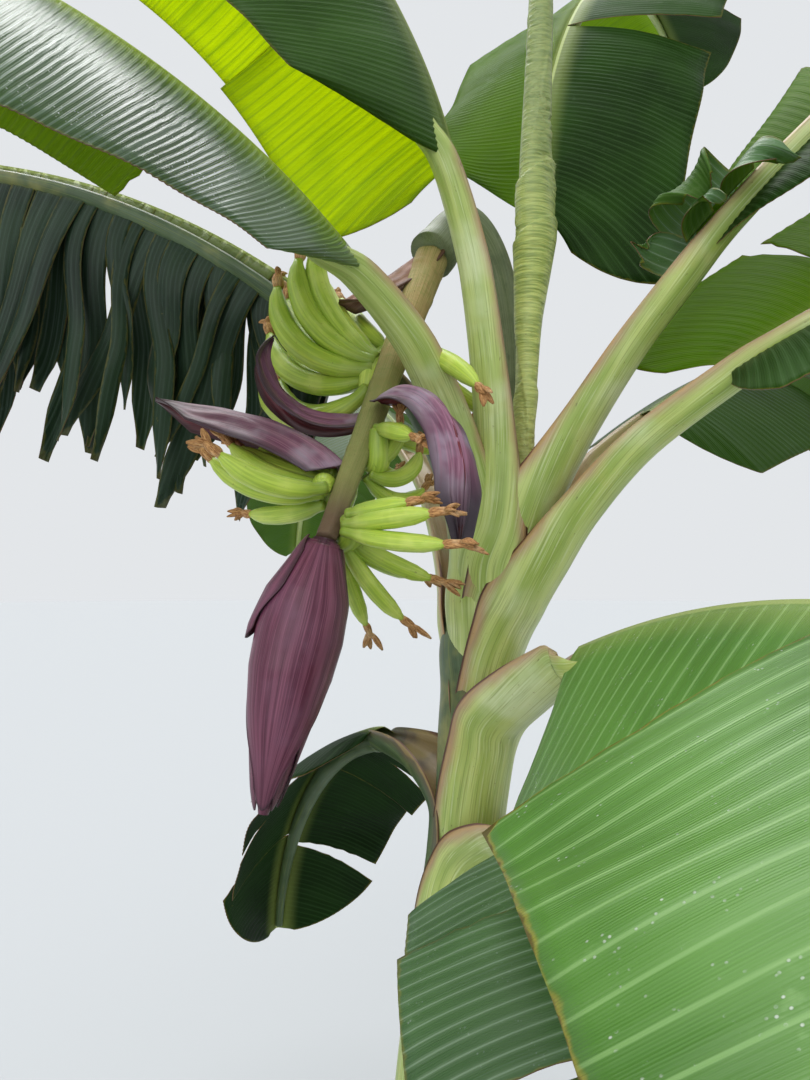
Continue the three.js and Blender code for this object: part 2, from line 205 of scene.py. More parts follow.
# the leaf rule, as in the part's source: a stalk that bends, then a blade that droops and swings
def spineOf(leaf):
    total = leaf["stalk"] + leaf["blade"]
    steps = round(total / 10)
    s = np.linspace(0, total, steps + 1)
    along = np.maximum((s - leaf["stalk"]) / leaf["blade"], 0)
    rise = np.radians(leaf["pitch"] - leaf["bend"] * np.minimum(s / leaf["stalk"], 1)
                      - leaf["droop"] * along ** leaf["power"])
    heading = np.radians(leaf["azimuth"] + leaf["swing"] * (s / total) ** leaf["swingPower"])
    ahead = np.stack([np.cos(rise) * np.cos(heading), np.cos(rise) * np.sin(heading), np.sin(rise)], 1)
    aside = np.stack([-np.sin(heading), np.cos(heading), 0 * heading], 1)
    above = np.cross(ahead, aside)
    walk = np.cumsum((ahead[1:] + ahead[:-1]) / 2 * (total / steps), axis=0)
    p = np.array(leaf["start"], float) + np.vstack([[0, 0, 0], walk])
    return {"total": total, "p": p, "ahead": ahead, "aside": aside, "above": above}


def frameAt(spine, s):
    u = np.clip(s / spine["total"], 0, 1)
    p, ahead, aside, above = (sampled(spine[k], u) for k in ("p", "ahead", "aside", "above"))
    return p, unit(ahead), unit(aside), unit(above)


# half widths along a blade and along a bract, as shares of the widest
def bladeShape(t):
    body = np.maximum(1 - np.abs((t - 0.4) / 0.6) ** 2.8, 0) ** 0.62
    return body * np.sqrt(np.clip(t / 0.035, 0, 1))


def bractShape(t):
    body = 0.25 + 0.75 * np.maximum(1 - np.abs((t - 0.42) / 0.6) ** 2.4, 0) ** 0.7
    return body * np.clip(t / 0.06, 0.1, 1) ** 0.5 * np.clip((1 - t) / 0.2, 0.02, 1) ** 0.7


# a point of a half blade: t along it, w out from the rib, up off its face in mm, lift in degrees
def bladePoint(leaf, spine, shape, side, t, w, up, extraLift):
    p, ahead, aside, above = frameAt(spine, leaf["stalk"] + leaf["blade"] * t)
    i = 0 if side > 0 else 1
    lift = np.radians(leaf["lift"][i] + extraLift)
    curl = math.radians(leaf["curl"][i])
    half = leaf["width"] / 2 * shape(t) * np.clip(t / leaf["taper"], 0, 1)
    turn = curl * w / 2
    reach = half * w * np.sinc(turn / math.pi)
    across = turned(aside * side, above, lift + turn)
    normal = turned(above, -side * aside, lift + curl * w)
    back = leaf["forward"][i] * (1 - np.exp(-t / 0.25)) - leaf["backSweep"][i] * np.exp(-t / 0.12)
    sweep = ahead * (back * half * w ** 1.6)[:, None]
    return p + across * reach[:, None] + sweep + normal * up[:, None]


def newMaterial(name):
    mat = bpy.data.materials.new(name)
    mat.use_nodes = True
    mat.node_tree.nodes.clear()
    return mat, mat.node_tree


# lays colours over a base: what steers each, where it starts, where it is full, how much, colour
def layered(tree, base, rows):
    for source, start, full, amount, colour in rows:
        share = addNode(tree, "MapRange", {0: source, 1: start, 2: full, 4: amount},
                        interpolation_type="SMOOTHSTEP")
        base = addNode(tree, "Mix", {0: share, 6: base, 7: colour}, data_type="RGBA")
    return base


# starts a plant skin and its patterns: each noise is stretched along the piece's own places, or as
# large as its scale says on Object coordinates, and has a detail and a roughness
def startSkin(name, noises):
    mat, tree = newMaterial(name)
    place = addNode(tree, "Attribute", attribute_name="place").outputs["Vector"]
    where = addNode(tree, "TexCoord").outputs["Object"]
    made = []
    for scale, detail, rough in noises:
        vector = where
        if isinstance(scale, tuple):
            vector, scale = addNode(tree, "Mapping", {"Vector": place, "Scale": scale}), 1.0
        made.append(addNode(tree, "TexNoise", {"Vector": vector, "Scale": scale, "Detail": detail,
                                               "Roughness": rough}))
    return mat, tree, place, addNode(tree, "SeparateXYZ", {0: place}).outputs, made


# ends it: strength and depth of the bump, roughness that wanders with the patches, fixed values, and
# the light that comes through with its colour
def endSkin(mat, base, height, bump, patches, rough, values, through=0, lit=None):
    tree, (high, low, most) = mat.node_tree, rough
    relief = addNode(tree, "Bump", {"Strength": bump[0], "Distance": bump[1], "Height": height})
    spread = addNode(tree, "MapRange", {0: patches, 1: 0.3, 2: high, 3: low, 4: most})
    skin = addNode(tree, "BsdfPrincipled", {"Base Color": base, "Roughness": spread, "Normal": relief,
                                            **values})
    if through:
        thin = addNode(tree, "BsdfTranslucent", {"Color": lit, "Normal": relief})
        skin = addNode(tree, "MixShader", {0: through, 1: skin, 2: thin})
    addNode(tree, "OutputMaterial", {"Surface": skin})
    return mat


# four colours, light let through, roughness, gloss, coat, how strong the veins and the ridge lines are,
# how far the ridges stand apart in mm, drops painted pale as glints of light, and dry rim
bladeKeys = ("deep", "fresh", "bloom", "glow", "through", "roughness", "gloss", "coat", "vein", "line",
             "pitch", "drops", "rim")
bladeRows = (
    ("mature leaf", "#264312", "#3d6320", "#6c8a55", "#a4c426", 0.3, 0.4, 0.3, 0.03, 0.3, 0.25, 10, 0,
     0.25),
    ("mature leaf below", "#2f5018", "#456a26", "#6d8a4c", "#a4c426", 0.26, 0.5, 0.14, 0, 0.3, 0.3, 10, 0,
     0.25),
    ("shaded leaf", "#172d0a", "#284812", "#456336", "#6f8f1c", 0.12, 0.48, 0.08, 0, 0.3, 0.3, 10, 0, 0.2),
    ("thin leaf", "#34580a", "#50760c", "#749024", "#b8d412", 0.5, 0.5, 0.08, 0, 0.3, 0.3, 10, 0, 0.2),
    # a lighter copy of the mature colours, painted light for the blade that faces the front light; it also
    # has a water gloss and drops
    ("wet leaf", "#45732a", "#61953b", "#92bc72", "#b4d236", 0.28, 0.36, 0.5, 0.12, 0.12, 0.6, 26, 0.6,
     0.7),
    ("dusty leaf", "#41633a", "#587f4c", "#97b090", "#a4c426", 0.26, 0.42, 0.4, 0.04, 0.22, 0.5, 13, 0.2,
     0.3),
    # the glossy leaf's grey-blue bloom and its strong streaks are partly a real waxy bloom and partly
    # painted sky reflection
    ("glossy leaf", "#1e3a16", "#325426", "#8a9d8c", "#88a828", 0.16, 0.27, 0.45, 0.42, 0.5, 0.2, 8, 0.7,
     0.2),
    ("young leaf", "#5d8a12", "#84ac1e", "#a8c44a", "#ecfa18", 0.76, 0.4, 0.3, 0, 0.3, 0.3, 15, 0.2, 0.2),
    ("young leaf below", "#72a01a", "#96be2a", "#b8d256", "#ecfa1c", 0.76, 0.5, 0.14, 0, 0.3, 0.3, 15, 0,
     0.2),
    ("old leaf", "#15261b", "#263b27", "#465a4d", "#5c7828", 0.1, 0.38, 0.22, 0.05, 0.34, 0.2, 9, 0, 0.15),
    ("old leaf below", "#213525", "#344a32", "#6a7e70", "#64802c", 0.1, 0.52, 0.16, 0, 0.32, 0.2, 9, 0,
     0.15),
    ("dark leaf", "#0d2007", "#19360d", "#2f4a28", "#3c5a14", 0.05, 0.45, 0.08, 0, 0.3, 0.2, 10, 0, 0.2))


# Banana leaf blade: a waxed cuticle over parallel veins. Typical IOR 1.45, roughness 0.3 above and
# 0.5 below. Ridges stand 8 to 26 mm apart and fine veins 2.2 mm, drops are 1 to 3 mm wide and painted pale
# as glints of light, and light that comes through the blade turns yellow-green.
def bladeMaterial(name, *row):
    look = dict(zip(bladeKeys, row))
    mat, tree, place, (along, across, edge), (patches, dust, wander, broad, shake) = startSkin(
        name, ((5.0, 3.0, 0.5), (38.0, 4.0, 0.7), ((330, 6, 1), 3.0, 0.5), ((48, 3, 1), 2.0, 0.5),
               (90.0, 2.0, 0.5)))
    ridge = addNode(tree, "TexWave", {"Vector": place, "Scale": 0.31416 / (look["pitch"] * mm)})
    fine = addNode(tree, "TexWave", {"Vector": place, "Scale": 142.8, "Distortion": 0.4})
    rib = addNode(tree, "Math", {0: across}, operation="ABSOLUTE")
    ragged = addNode(tree, "Math", {0: shake, 1: 0.008, 2: edge}, operation="MULTIPLY_ADD")
    grain = addNode(tree, "TexVoronoi", {"Vector": place, "Scale": 150.0}, voronoi_dimensions="2D")
    vein, fresh, bloom, rim = look["vein"], look["fresh"], look["bloom"], look["rim"]
    base = layered(tree, look["deep"], (
        (patches, 0.32, 0.7, 1.0, fresh), (broad, 0.5, 0.78, 0.8 * vein, bloom),
        (wander, 0.5, 0.78, vein, bloom), (ridge, 0.55, 1.0, 0.6 * vein, bloom),
        (ridge, 0.3, 0.0, 0.45 * vein, look["deep"]), (dust, 0.62, 0.78, 0.35, bloom),
        (ridge, 0.955, 0.998, look["line"], bloom),
        (rib, 0.045, 0.008, 0.35, "#a9bb62"), (rib, 0.0065, 0.004, 0.85, "#b3c274"),
        (dust, 0.3, 0.22, 0.35, "#8d8a3c"), (ragged, 0.0078, 0.0048, rim, "#b3a440"),
        (ragged, 0.0052, 0.0036, rim, "#4d2f16")))
    wet = addNode(tree, "MapRange", {0: grain, 1: 0.16, 2: 0.08, 4: look["drops"]},
                  interpolation_type="SMOOTHSTEP")
    sprinkled = addNode(tree, "MapRange", {0: dust, 1: 0.56, 2: 0.66})
    drops = addNode(tree, "Math", {0: wet, 1: sprinkled}, operation="MULTIPLY")
    # the drops are painted near-white: painted glints of light on water drops, a painted highlight
    base = addNode(tree, "Mix", {0: drops, 6: base, 7: "#e8eee4"}, data_type="RGBA")
    relief = addNode(tree, "Math", {0: fine, 1: 0.3, 2: wander}, operation="MULTIPLY_ADD")
    relief = addNode(tree, "Math", {0: drops, 1: 1.5, 2: relief}, operation="MULTIPLY_ADD")
    # the light let through: darker vein streaks, and darker blotches that are partly the blade's own
    # unevenness and partly painted shadow of leaves above
    lit = layered(tree, look["glow"], (
        (wander, 0.45, 0.8, 0.35, fresh), (broad, 0.52, 0.75, 0.25, fresh),
        (patches, 0.52, 0.72, 0.3, fresh), (ridge, 0.86, 0.99, 0.25, look["deep"]),
        (ragged, 0.008, 0.0045, rim, "#6b4a20")))
    return endSkin(mat, base, relief, (0.6, 0.0009), patches,
                   (0.75, look["roughness"] - 0.05, look["roughness"] + 0.1),
                   {"IOR": 1.45, "Specular IOR Level": look["gloss"], "Coat Weight": look["coat"],
                    "Coat Roughness": 0.2}, look["through"], lit)


# Banana sheath and leaf stalk: smooth fleshy skin with a wax bloom. IOR 1.42, roughness 0.45. Long
# fibres run 1 to 2 mm apart, freckles are 2 to 8 mm, and the thin margins dry to pink and brown.
def stalkMaterial(name, pale, green, bloom, margin, dry=0.0):
    mat, tree, place, axes, (fibre, streak, freckle, patches, worn, shake) = startSkin(
        name, (((520, 9, 0), 3.0, 0.5), ((50, 2.6, 0), 2.0, 0.5), ((150, 60, 0), 4.0, 0.7),
               (9.0, 3.0, 0.5), (7.0, 4.0, 0.65), (16.0, 3.0, 0.5)))
    edge = axes["Z"]
    soft = addNode(tree, "Math", {0: shake, 1: 0.02, 2: edge}, operation="MULTIPLY_ADD")
    rows = [
        (streak, 0.36, 0.66, 1.0, green), (patches, 0.46, 0.76, 0.65, bloom),
        (worn, 0.5, 0.72, 0.4, "#b8ae5a"), (fibre, 0.53, 0.66, 0.5, "#748240"),
        (fibre, 0.45, 0.34, 0.38, bloom), (soft, 0.035, 0.012, 0.75, margin),
        (soft, 0.019, 0.0145, 0.3, "#c3a95c"), (edge, 0.0036, 0.0018, 0.85, "#5a3029"),
        (freckle, 0.64, 0.72, 0.6, "#5b4424")]
    if dry:
        rows += [(worn, 0.62 - 0.5 * dry, 0.85 - 0.45 * dry, 0.9, "#8d6a48"),
                 (fibre, 0.52, 0.7, 0.6 * dry, "#4d3624"), (worn, 0.4, 0.25, 0.5 * dry, "#b3a070")]
    height = addNode(tree, "Math", {0: streak, 1: 0.6, 2: fibre}, operation="MULTIPLY_ADD")
    return endSkin(mat, layered(tree, pale, rows), height, (0.55 + 0.2 * dry, 0.0008), patches,
                   (0.7, 0.38, 0.52 + 0.25 * dry),
                   {"IOR": 1.42, "Subsurface Weight": 0.06, "Subsurface Scale": 0.01,
                    "Coat Weight": 0.08, "Coat Roughness": 0.3})


# fine and ring are pattern scales per metre round, round and along; stages colour it by its length
roundKeys = ("first", "second", "third", "fine", "patch", "ring", "relief", "roughness", "soft", "band",
             "stages")
roundRows = (
    ("withered flower", "#cc9a62", "#84562f", "#e2c296", (6, 6, 220), 60, (2, 2, 60), 0.9, 0.8, 0, 0.5,
     ()),
    ("rolled young leaf", "#b5c169", "#84964a", "#c6cf86", (0.8, 0.8, 260), 5, (0.5, 0.5, 90), 4.5, 0.42,
     0.06, 0.26, ((0.42, 0.15, 0.55, "#c6d07c"), (0.5, 0.78, 0.6, "#75855a"))),
    ("green fruit stalk", "#5f6d48", "#788260", "#434f34", (30, 30, 14), 14, (2, 2, 50), 0.6, 0.55, 0.04,
     0.5, ()),
    ("hairy fruit stalk", "#b39c69", "#868647", "#957448", (34, 34, 16), 16, (2, 2, 150), 1.0, 0.72, 0.02,
     0.5, ((0.2, 0.3, 0.6, "#7a8748"), (0.44, 0.52, 0.75, "#5a3338"))),
    # the banana skin's first stage darkens each finger near its base, painted shade where the fingers
    # crowd; the second turns it darker towards the tip
    ("green banana skin", "#bcd250", "#9cb840", "#d2de76", (5, 5, 9), 22, (2, 2, 24), 0.3, 0.4, 0.08,
     0.5, ((0.06, 0.0, 0.65, "#66802a"), (0.13, 0.22, 0.3, "#86a038"))))


# Skins of round pieces, on a pattern that reads the turn round the piece and the length along it.
# Plant skin has an IOR of 1.45; roughness is 0.4 where it is waxed and 0.8 where it has dried.
def roundMaterial(name, *row):
    look = dict(zip(roundKeys, row))
    second, third, band = look["second"], look["third"], look["band"]
    mat, tree, place, axes, (fibre, ring, patches, speck) = startSkin(
        name, ((look["fine"], 4.0, 0.5), (look["ring"], 3.0, 0.5), (look["patch"], 3.0, 0.5),
               (240.0, 3.0, 0.5)))
    base = layered(tree, look["first"], (
        (fibre, 0.36, 0.66, 1.0, second), (patches, 0.46, 0.75, 0.65, third),
        (ring, 0.52, 0.7, band, second), (ring, 0.42, 0.28, 0.8 * band, third),
        *((axes["Z"], *stage) for stage in look["stages"]), (speck, 0.68, 0.74, 0.5, "#5d4a26")))
    height = addNode(tree, "Math", {0: ring, 1: 1.2, 2: fibre}, operation="MULTIPLY_ADD")
    return endSkin(mat, base, height, (0.6, look["relief"] * mm), patches,
                   (0.7, look["roughness"] - 0.06, look["roughness"] + 0.08),
                   {"IOR": 1.45, "Subsurface Weight": look["soft"], "Subsurface Scale": 0.01,
                    "Coat Weight": look["soft"], "Coat Roughness": 0.25})


# Bract of a banana bud: leathery, IOR 1.45, with a blue-grey bloom over purple outside and a smooth
# dark red inside. Its fibres run lengthwise 1 to 2 mm apart.
def bractMaterial(name, deep, light, bloom, tip, roughness, dark):
    mat, tree, place, (along, across, edge), (fibre, streak, patches) = startSkin(
        name, (((7, 520, 0), 4.0, 0.5), ((5, 90, 0), 2.0, 0.5), (18.0, 3.0, 0.5)))
    base = layered(tree, deep, (
        (streak, 0.4, 0.66, 0.5, light), (patches, 0.4, 0.72, 0.75, bloom),
        (fibre, 0.5, 0.68, 0.6, light), (fibre, 0.42, 0.3, 0.5, tip),
        (edge, 0.012, 0.001, 0.75, tip), (along, 0.215, 0.3, dark, tip)))
    return endSkin(mat, base, fibre, (0.6, 0.0009), patches, (0.7, roughness - 0.05, roughness + 0.12),
                   {"IOR": 1.45, "Coat Weight": 0.06})


bractRows = (  # deep, light, bloom and tip colours, roughness, how dark the tip turns
    ("bract outside", "#70405a", "#ab788e", "#aa9cac", "#2e262f", 0.5, 0.85),
    ("bract inside", "#571420", "#7d2632", "#46121e", "#281216", 0.45, 0.5),
    ("dry bract", "#6f4c3a", "#9a7458", "#b08a80", "#43291a", 0.75, 0.3),
    ("bud outside", "#531c35", "#8d5269", "#6b4056", "#321524", 0.4, 0.3))
bladeSkins = {row[0]: bladeMaterial(*row) for row in bladeRows}
roundSkins = {row[0]: roundMaterial(*row) for row in roundRows}
bractSkins = {row[0]: bractMaterial(*row) for row in bractRows}
bladeRim = stalkMaterial("dried blade edge", "#6f7434", "#7f8a40", "#8d8a4a", "#5d4a22")
stalkSkins = {"pale": stalkMaterial("fleshy leaf stalk", "#b3c26f", "#8ea44c", "#d0d9ae", "#a8706c"),
              "shaded": stalkMaterial("shaded leaf stalk", "#475b38", "#324827", "#62755a", "#5c4038")}
trunkSkin = stalkMaterial("old sheath skin", "#a3aa6a", "#86934f", "#bdb98c", "#8a5546", dry=0.55)
print("materials made")


# the photo's own viewpoint, a pale sky and two wide suns: their way, their width and their strength
studio = {"camera": (-0.02, -1.15, 1.45), "pitchUp": 3, "lens": 26, "sensor": 36, "sky": "#eef1f4",
          "skyStrength": 0.9, "floor": "#b3b6b8", "floorRadius": 60,
          "panels": {"backPanel": ((0.12, -0.42, -1.0), 40, 2.3),
                     "frontPanel": ((0.5, 1.0, -0.55), 70, 1.5)}}


def makeStudio():
    scene = bpy.context.scene
    scene.view_settings.view_transform = "Standard"
    data = bpy.data.cameras.new("photoCamera")
    data.lens = studio["lens"]
    data.sensor_width = studio["sensor"]
    data.clip_start = 0.02
    camera = addObject("photoCamera", data)
    camera.location = studio["camera"]
    camera.rotation_euler = (math.radians(90 + studio["pitchUp"]), 0, 0)
    scene.camera = camera
    world = bpy.data.worlds.new("paleSky")
    world.use_nodes = True
    background = world.node_tree.nodes["Background"]
    background.inputs["Color"].default_value = linear(studio["sky"])
    background.inputs["Strength"].default_value = studio["skyStrength"]
    scene.world = world
    for name, (way, wide, power) in studio["panels"].items():
        light = bpy.data.lights.new(name, "SUN")
        light.angle = math.radians(wide)
        light.energy = power
        lamp = addObject(name, light)
        lamp.rotation_euler = Vector(way).to_track_quat("-Z", "Y").to_euler()
    mat, tree = newMaterial("matt studio floor")
    matt = addNode(tree, "BsdfPrincipled",
                   {"Base Color": studio["floor"], "Roughness": 0.9, "Specular IOR Level": 0.1})
    addNode(tree, "OutputMaterial", {"Surface": matt})
    bm = bmesh.new()
    bmesh.ops.create_circle(bm, cap_ends=True, segments=64, radius=studio["floorRadius"])
    floor = addMesh("studioFloor", bm, [mat])


makeStudio()
print("studio made")


# what every leaf has unless its own row says otherwise; a pair is for the left and the right half
leafRule = {"power": 1.2, "swingPower": 1, "blade": 1500, "curl": (-20, -20), "backSweep": (0.2, 0.2),
            "forward": (0.22, 0.22), "radius": 28, "taper": 0.001, "ribFrom": 0.045, "ribHangs": 1,
            "ridge": (10, 0.6), "rows": 13, "flaps": (), "notches": ((), ()), "shreds": 0, "rags": (),
            "skin": ("mature", "mature"), "stalkSkin": "pale"}
# millimetres and degrees; tears and notches are shares of the length, notches with a share of the width
leafKeys = ("foot", "start", "azimuth", "pitch", "bend", "swing", "stalk", "width", "droop", "lift",
            "tears")
leaves = {
    "leaf_1": ((86, -24, 1130), (99, -43, 1230), -46, 57, 38, -55, 230, 640, 83.5, (-35, -46),
        ((0.35, 0.68), (0.295, 0.62)), {"swingPower": 0.5, "power": 1.1, "curl": (-20, -12),
        "backSweep": (0.1, 0.05), "radius": 30, "forward": (0.22, 0.03), "ribFrom": 0.028,
        "flaps": ((0, 0, 0), (0, 27, 10)),
        "notches": (((0.15, 0.7), (0.52, 0.45)), ((0.55, 0.75), (0.8, 0.5))), "rows": 24,
        "ridge": (26, 0.75), "skin": ("wet", "wet")}),
    "leaf_2": ((84, 20, 1290), (88, 52, 1440), 160, 88, 48, 26, 500, 940, 66, (-76, -70),
        ((0.12, 0.22, 0.32, 0.42, 0.58, 0.7, 0.82), (0.16, 0.28, 0.4, 0.6, 0.75)), {"blade": 1350,
        "curl": (-22, -22), "backSweep": (0.25, 0.25), "shreds": 38, "skin": ("old", "old"),
        "stalkSkin": "shaded"}),
    "leaf_3": ((98, 0, 1270), (123, -10, 1381), -25, 68, 40, -7, 470, 500, 68, (54, -12),
        ((0.34, 0.7), (0.25, 0.66)), {"curl": (-15, -20), "backSweep": (1.1, 0.2), "radius": 32,
        "notches": (((0.12, 0.5), (0.5, 0.6)), ((0.5, 0.5),)), "ribHangs": 0,
        "skin": ("thin", "shaded")}),
    "leaf_4": ((88, 0, 1360), (93, -4, 1510), 234, 73, 37, -49, 420, 500, 100, (-46, 4),
        ((0.33, 0.72), (0.17, 0.5, 0.74)), {"blade": 1450, "curl": (-25, -25), "backSweep": (-0.5, 0.12),
        "radius": 30, "flaps": ((0, -4, 2), (34, 2, -4, 2)),
        "notches": (((0.52, 0.6),), ((0.34, 0.5), (0.85, 0.4))), "ridge": (8, 0.9),
        "skin": ("glossy", "glossy")}),
    "leaf_5": ((108, 0, 1370), (130, 0, 1503), -25, 64, 17, -8, 450, 500, 82, (60, -28),
        ((0.07, 0.38, 0.7), (0.3, 0.66)), {"curl": (-15, -20), "radius": 30, "taper": 0.25,
        "notches": (((0.2, 0.4), (0.55, 0.6)), ((0.12, 0.6),)), "rags": ((462, 1, 80, 60, 100, 70, -25),
        (530, 1, 160, 110, 60, 205, -5), (500, -1, 85, 50, 40, -95, 20),
        (565, -1, 120, 55, 30, -120, 35)), "ribHangs": 0, "skin": ("thin", "shaded")}),
    "leaf_6": ((112, -20, 1420), (121, -30, 1542), 205, 88, 12, -14, 510, 580, 122, (-62, -38),
        ((0.36, 0.74), (0.2, 0.68)), {"blade": 1600, "power": 1, "curl": (-40, -25),
        "backSweep": (-0.35, 0.5), "radius": 29, "notches": (((0.55, 0.6),), ((0.45, 0.5),)),
        "skin": ("mature", "young")}),
    "leaf_7": ((120, 40, 1400), (128, 56, 1590), 55, 75, -3, 3, 500, 560, 92, (-4, -14),
        ((0.36, 0.7), (0.3, 0.66)), {"blade": 1600, "curl": (-20, -25), "backSweep": (-0.9, 1.0),
        "radius": 22, "notches": (((0.5, 0.6),), ((0.5, 0.4),)), "skin": ("thin", "shaded")}),
    "leaf_8": ((104, 30, 1270), (135, 55, 1390), 28, 66, 34, 10, 480, 520, 84, (-12, -30),
        ((0.28, 0.7), (0.2, 0.4, 0.66)), {"notches": (((0.5, 0.5),), ((0.55, 0.5),))}),
    "leaf_9": ((88, 36, 1230), (90, 68, 1340), 112, 72, 38, -8, 480, 520, 92, (-22, -18),
        ((0.3, 0.64), (0.2, 0.42, 0.72)), {"notches": (((0.45, 0.5),), ((0.58, 0.5),))}),
    "leaf_10": ((66, 20, 1020), (56, 44, 1120), 122, 48, 52, 14, 220, 420, 84, (-14, -24),
        ((0.25, 0.66), (0.36, 0.7)), {"blade": 640, "power": 0.75, "radius": 27,
        "notches": (((0.45, 0.6),), ((0.2, 0.5),)), "skin": ("dark", "dark"), "stalkSkin": "shaded"}),
    "leaf_11": ((72, -10, 950), (95, -48, 1050), -75, 52, 42, -15, 220, 430, 86, (-20, -12),
        ((0.3, 0.66), (0.12, 0.28, 0.66)), {"blade": 1000, "power": 0.5, "radius": 27,
        "notches": (((0.5, 0.6),), ((0.45, 0.5),)), "ridge": (13, 0.8), "skin": ("dusty", "dusty")}),
}
leaves = {name: {**leafRule, **dict(zip(leafKeys, row)), **row[-1]} for name, row in leaves.items()}
# samples are the columns to each ridge; the ribbons' columns, the slits and the rest are in mm
blades = {"samples": 3.2, "thickness": 0.9, "wave": 8, "slit": 9, "ribbonColumn": 4.5, "ribbonRows": 22,
          "ragGrid": (60, 26)}
undersides = {"mature": "mature leaf below", "wet": "mature leaf below", "old": "old leaf below",
              "dusty": "mature leaf below", "glossy": "young leaf below", "young": "young leaf below"}


def liftOf(index, side):
    return 5 * math.sin(2.7 * index + 1.3 * side)


# one piece of a half blade between two cuts; a cut that stops short of the rib opens from its depth on
def bladePiece(bm, leaf, spine, side, start, end, lift, seed):
    (a, depthA), (b, depthB) = start, end
    ridgePitch, ridgeHeight = leaf["ridge"]
    columns = max(4, round((b - a) * leaf["blade"] / ridgePitch * blades["samples"]))

    def rule(x, w):
        openA = smooth(w, depthA, 1) ** 0.8 if depthA else 0.2 + 0.8 * w
        openB = smooth(w, depthB, 1) ** 0.8 if depthB else 0.2 + 0.8 * w
        rag = 1.4 * np.sin(w * 47 + seed) + 0.9 * np.sin(w * 113 + 2 * seed)
        t0 = a + (blades["slit"] * openA + rag * openA) / leaf["blade"] * (a > 0)
        t1 = b - (blades["slit"] * openB + rag * openB) / leaf["blade"] * (b < 1) - 0.012 * (b >= 1)
        t = np.clip(t0 + (t1 - t0) * x, 0.004, 0.99)
        u = t * leaf["blade"]
        half = leaf["width"] / 2 * bladeShape(t)
        body = smooth(w, 0.02, 0.14)
        uneven = 1 + 0.6 * waves(seed + 3, u / 40, w * 2)
        up = ridgeHeight * body * uneven * (1 - 0.4 * w ** 4) * np.sin(2 * math.pi * u / ridgePitch)
        up = up + blades["wave"] * w ** 1.5 * waves(seed, u / 75, w * 2.5)
        points = bladePoint(leaf, spine, bladeShape, side, t, w, up, lift)
        margin = half * (1 - w)
        cut0 = 2 * (t - t0) * leaf["blade"] + edgeCap * ((w < depthA) | (a == 0))
        cut1 = 2 * (t1 - t) * leaf["blade"] + edgeCap * ((w < depthB) | (b == 1))
        return placed(points, u, side * w * half, np.minimum(np.minimum(cut0, cut1), margin))

    sheet(bm, columns, leaf["rows"], rule, flip=side < 0, material=0 if side > 0 else 3)


# a hanging ribbon of a blade that the wind has torn right through
def bladeRibbon(bm, leaf, spine, side, a, b, reach, lift, twist, seed):
    columns = max(4, round((b - a) * leaf["blade"] / blades["ribbonColumn"]))

    def rule(x, w):
        narrow = 1.5 - 0.3 * w - 0.9 * smooth(w, 0.78, 1.0)
        middle = (a + b) / 2 + 0.012 * np.sin(3 * w + seed) * w
        t = np.clip(middle + (x - 0.5) * (b - a) * 0.96 * narrow, 0.004, 0.99)
        u = t * leaf["blade"]
        half = leaf["width"] / 2 * bladeShape(t)
        width = (b - a) * leaf["blade"]
        fold = np.abs(x - 0.5) * width * 0.5 * smooth(w, 0.05, 0.5)
        up = 0.6 * np.sin(2 * math.pi * u / 9) + 34 * w * waves(seed, w * 3.2) - fold
        up = up + twist * w ** 1.3 * (x - 0.5) * width
        points = bladePoint(leaf, spine, bladeShape, side, t, w * reach, up, lift * w)
        rib = frameAt(spine, leaf["stalk"] + leaf["blade"] * t)[0]
        fall = np.stack([0 * w, 0 * w, -half * w * reach], 1)
        weight = (0.62 + 0.3 * math.sin(seed)) * smooth(w, 0.0, 0.6)
        points = points + (rib + fall - points) * weight[:, None] * np.array([1, 0.4, 1])
        edge = np.minimum(np.minimum(x, 1 - x) * width * narrow, half * (1 - w))
        return placed(points, u, side * w * half, edge)

    sheet(bm, columns, blades["ribbonRows"], rule, flip=side < 0, material=0 if side > 0 else 3)


# a torn scrap that stands on the rib: place, side, length, width, start angle, curl, lean
def makeRag(bm, leaf, spine, row, seed):
    place, side, length, width, start, curl, lean = row

    def rule(x, w):
        p, ahead, aside, above = frameAt(spine, place + (x - 0.5) * width * (1 - 0.6 * w ** 3))
        turn = math.radians(curl) * w / 2
        angle = math.radians(start) + turn + 0.2 * np.sin(3 * x + seed) * w
        reach = length * w * np.sinc(turn / math.pi) * (1 - 0.35 * np.abs(np.sin(x * 4 + seed)) * w ** 3)
        out = turned(aside * side, above, angle)
        foot = aside * side * 0.55 * leaf["radius"] + above * 0.5 * leaf["radius"]
        ruffle = 5 * w * np.sin(5 * x + 4 * w + seed) + 0.7 * np.sin(2 * math.pi * x * width / 9) * w
        points = (p + foot + out * reach[:, None] + ahead * (lean * w + 0 * x)[:, None]
                  + above * ruffle[:, None])
        edge = np.minimum(np.minimum(x, 1 - x) * width, (1 - w) * length)
        return placed(points, place + x * width, side * (30 + w * length), edge)

    sheet(bm, *blades["ragGrid"], rule, flip=side < 0, material=6)


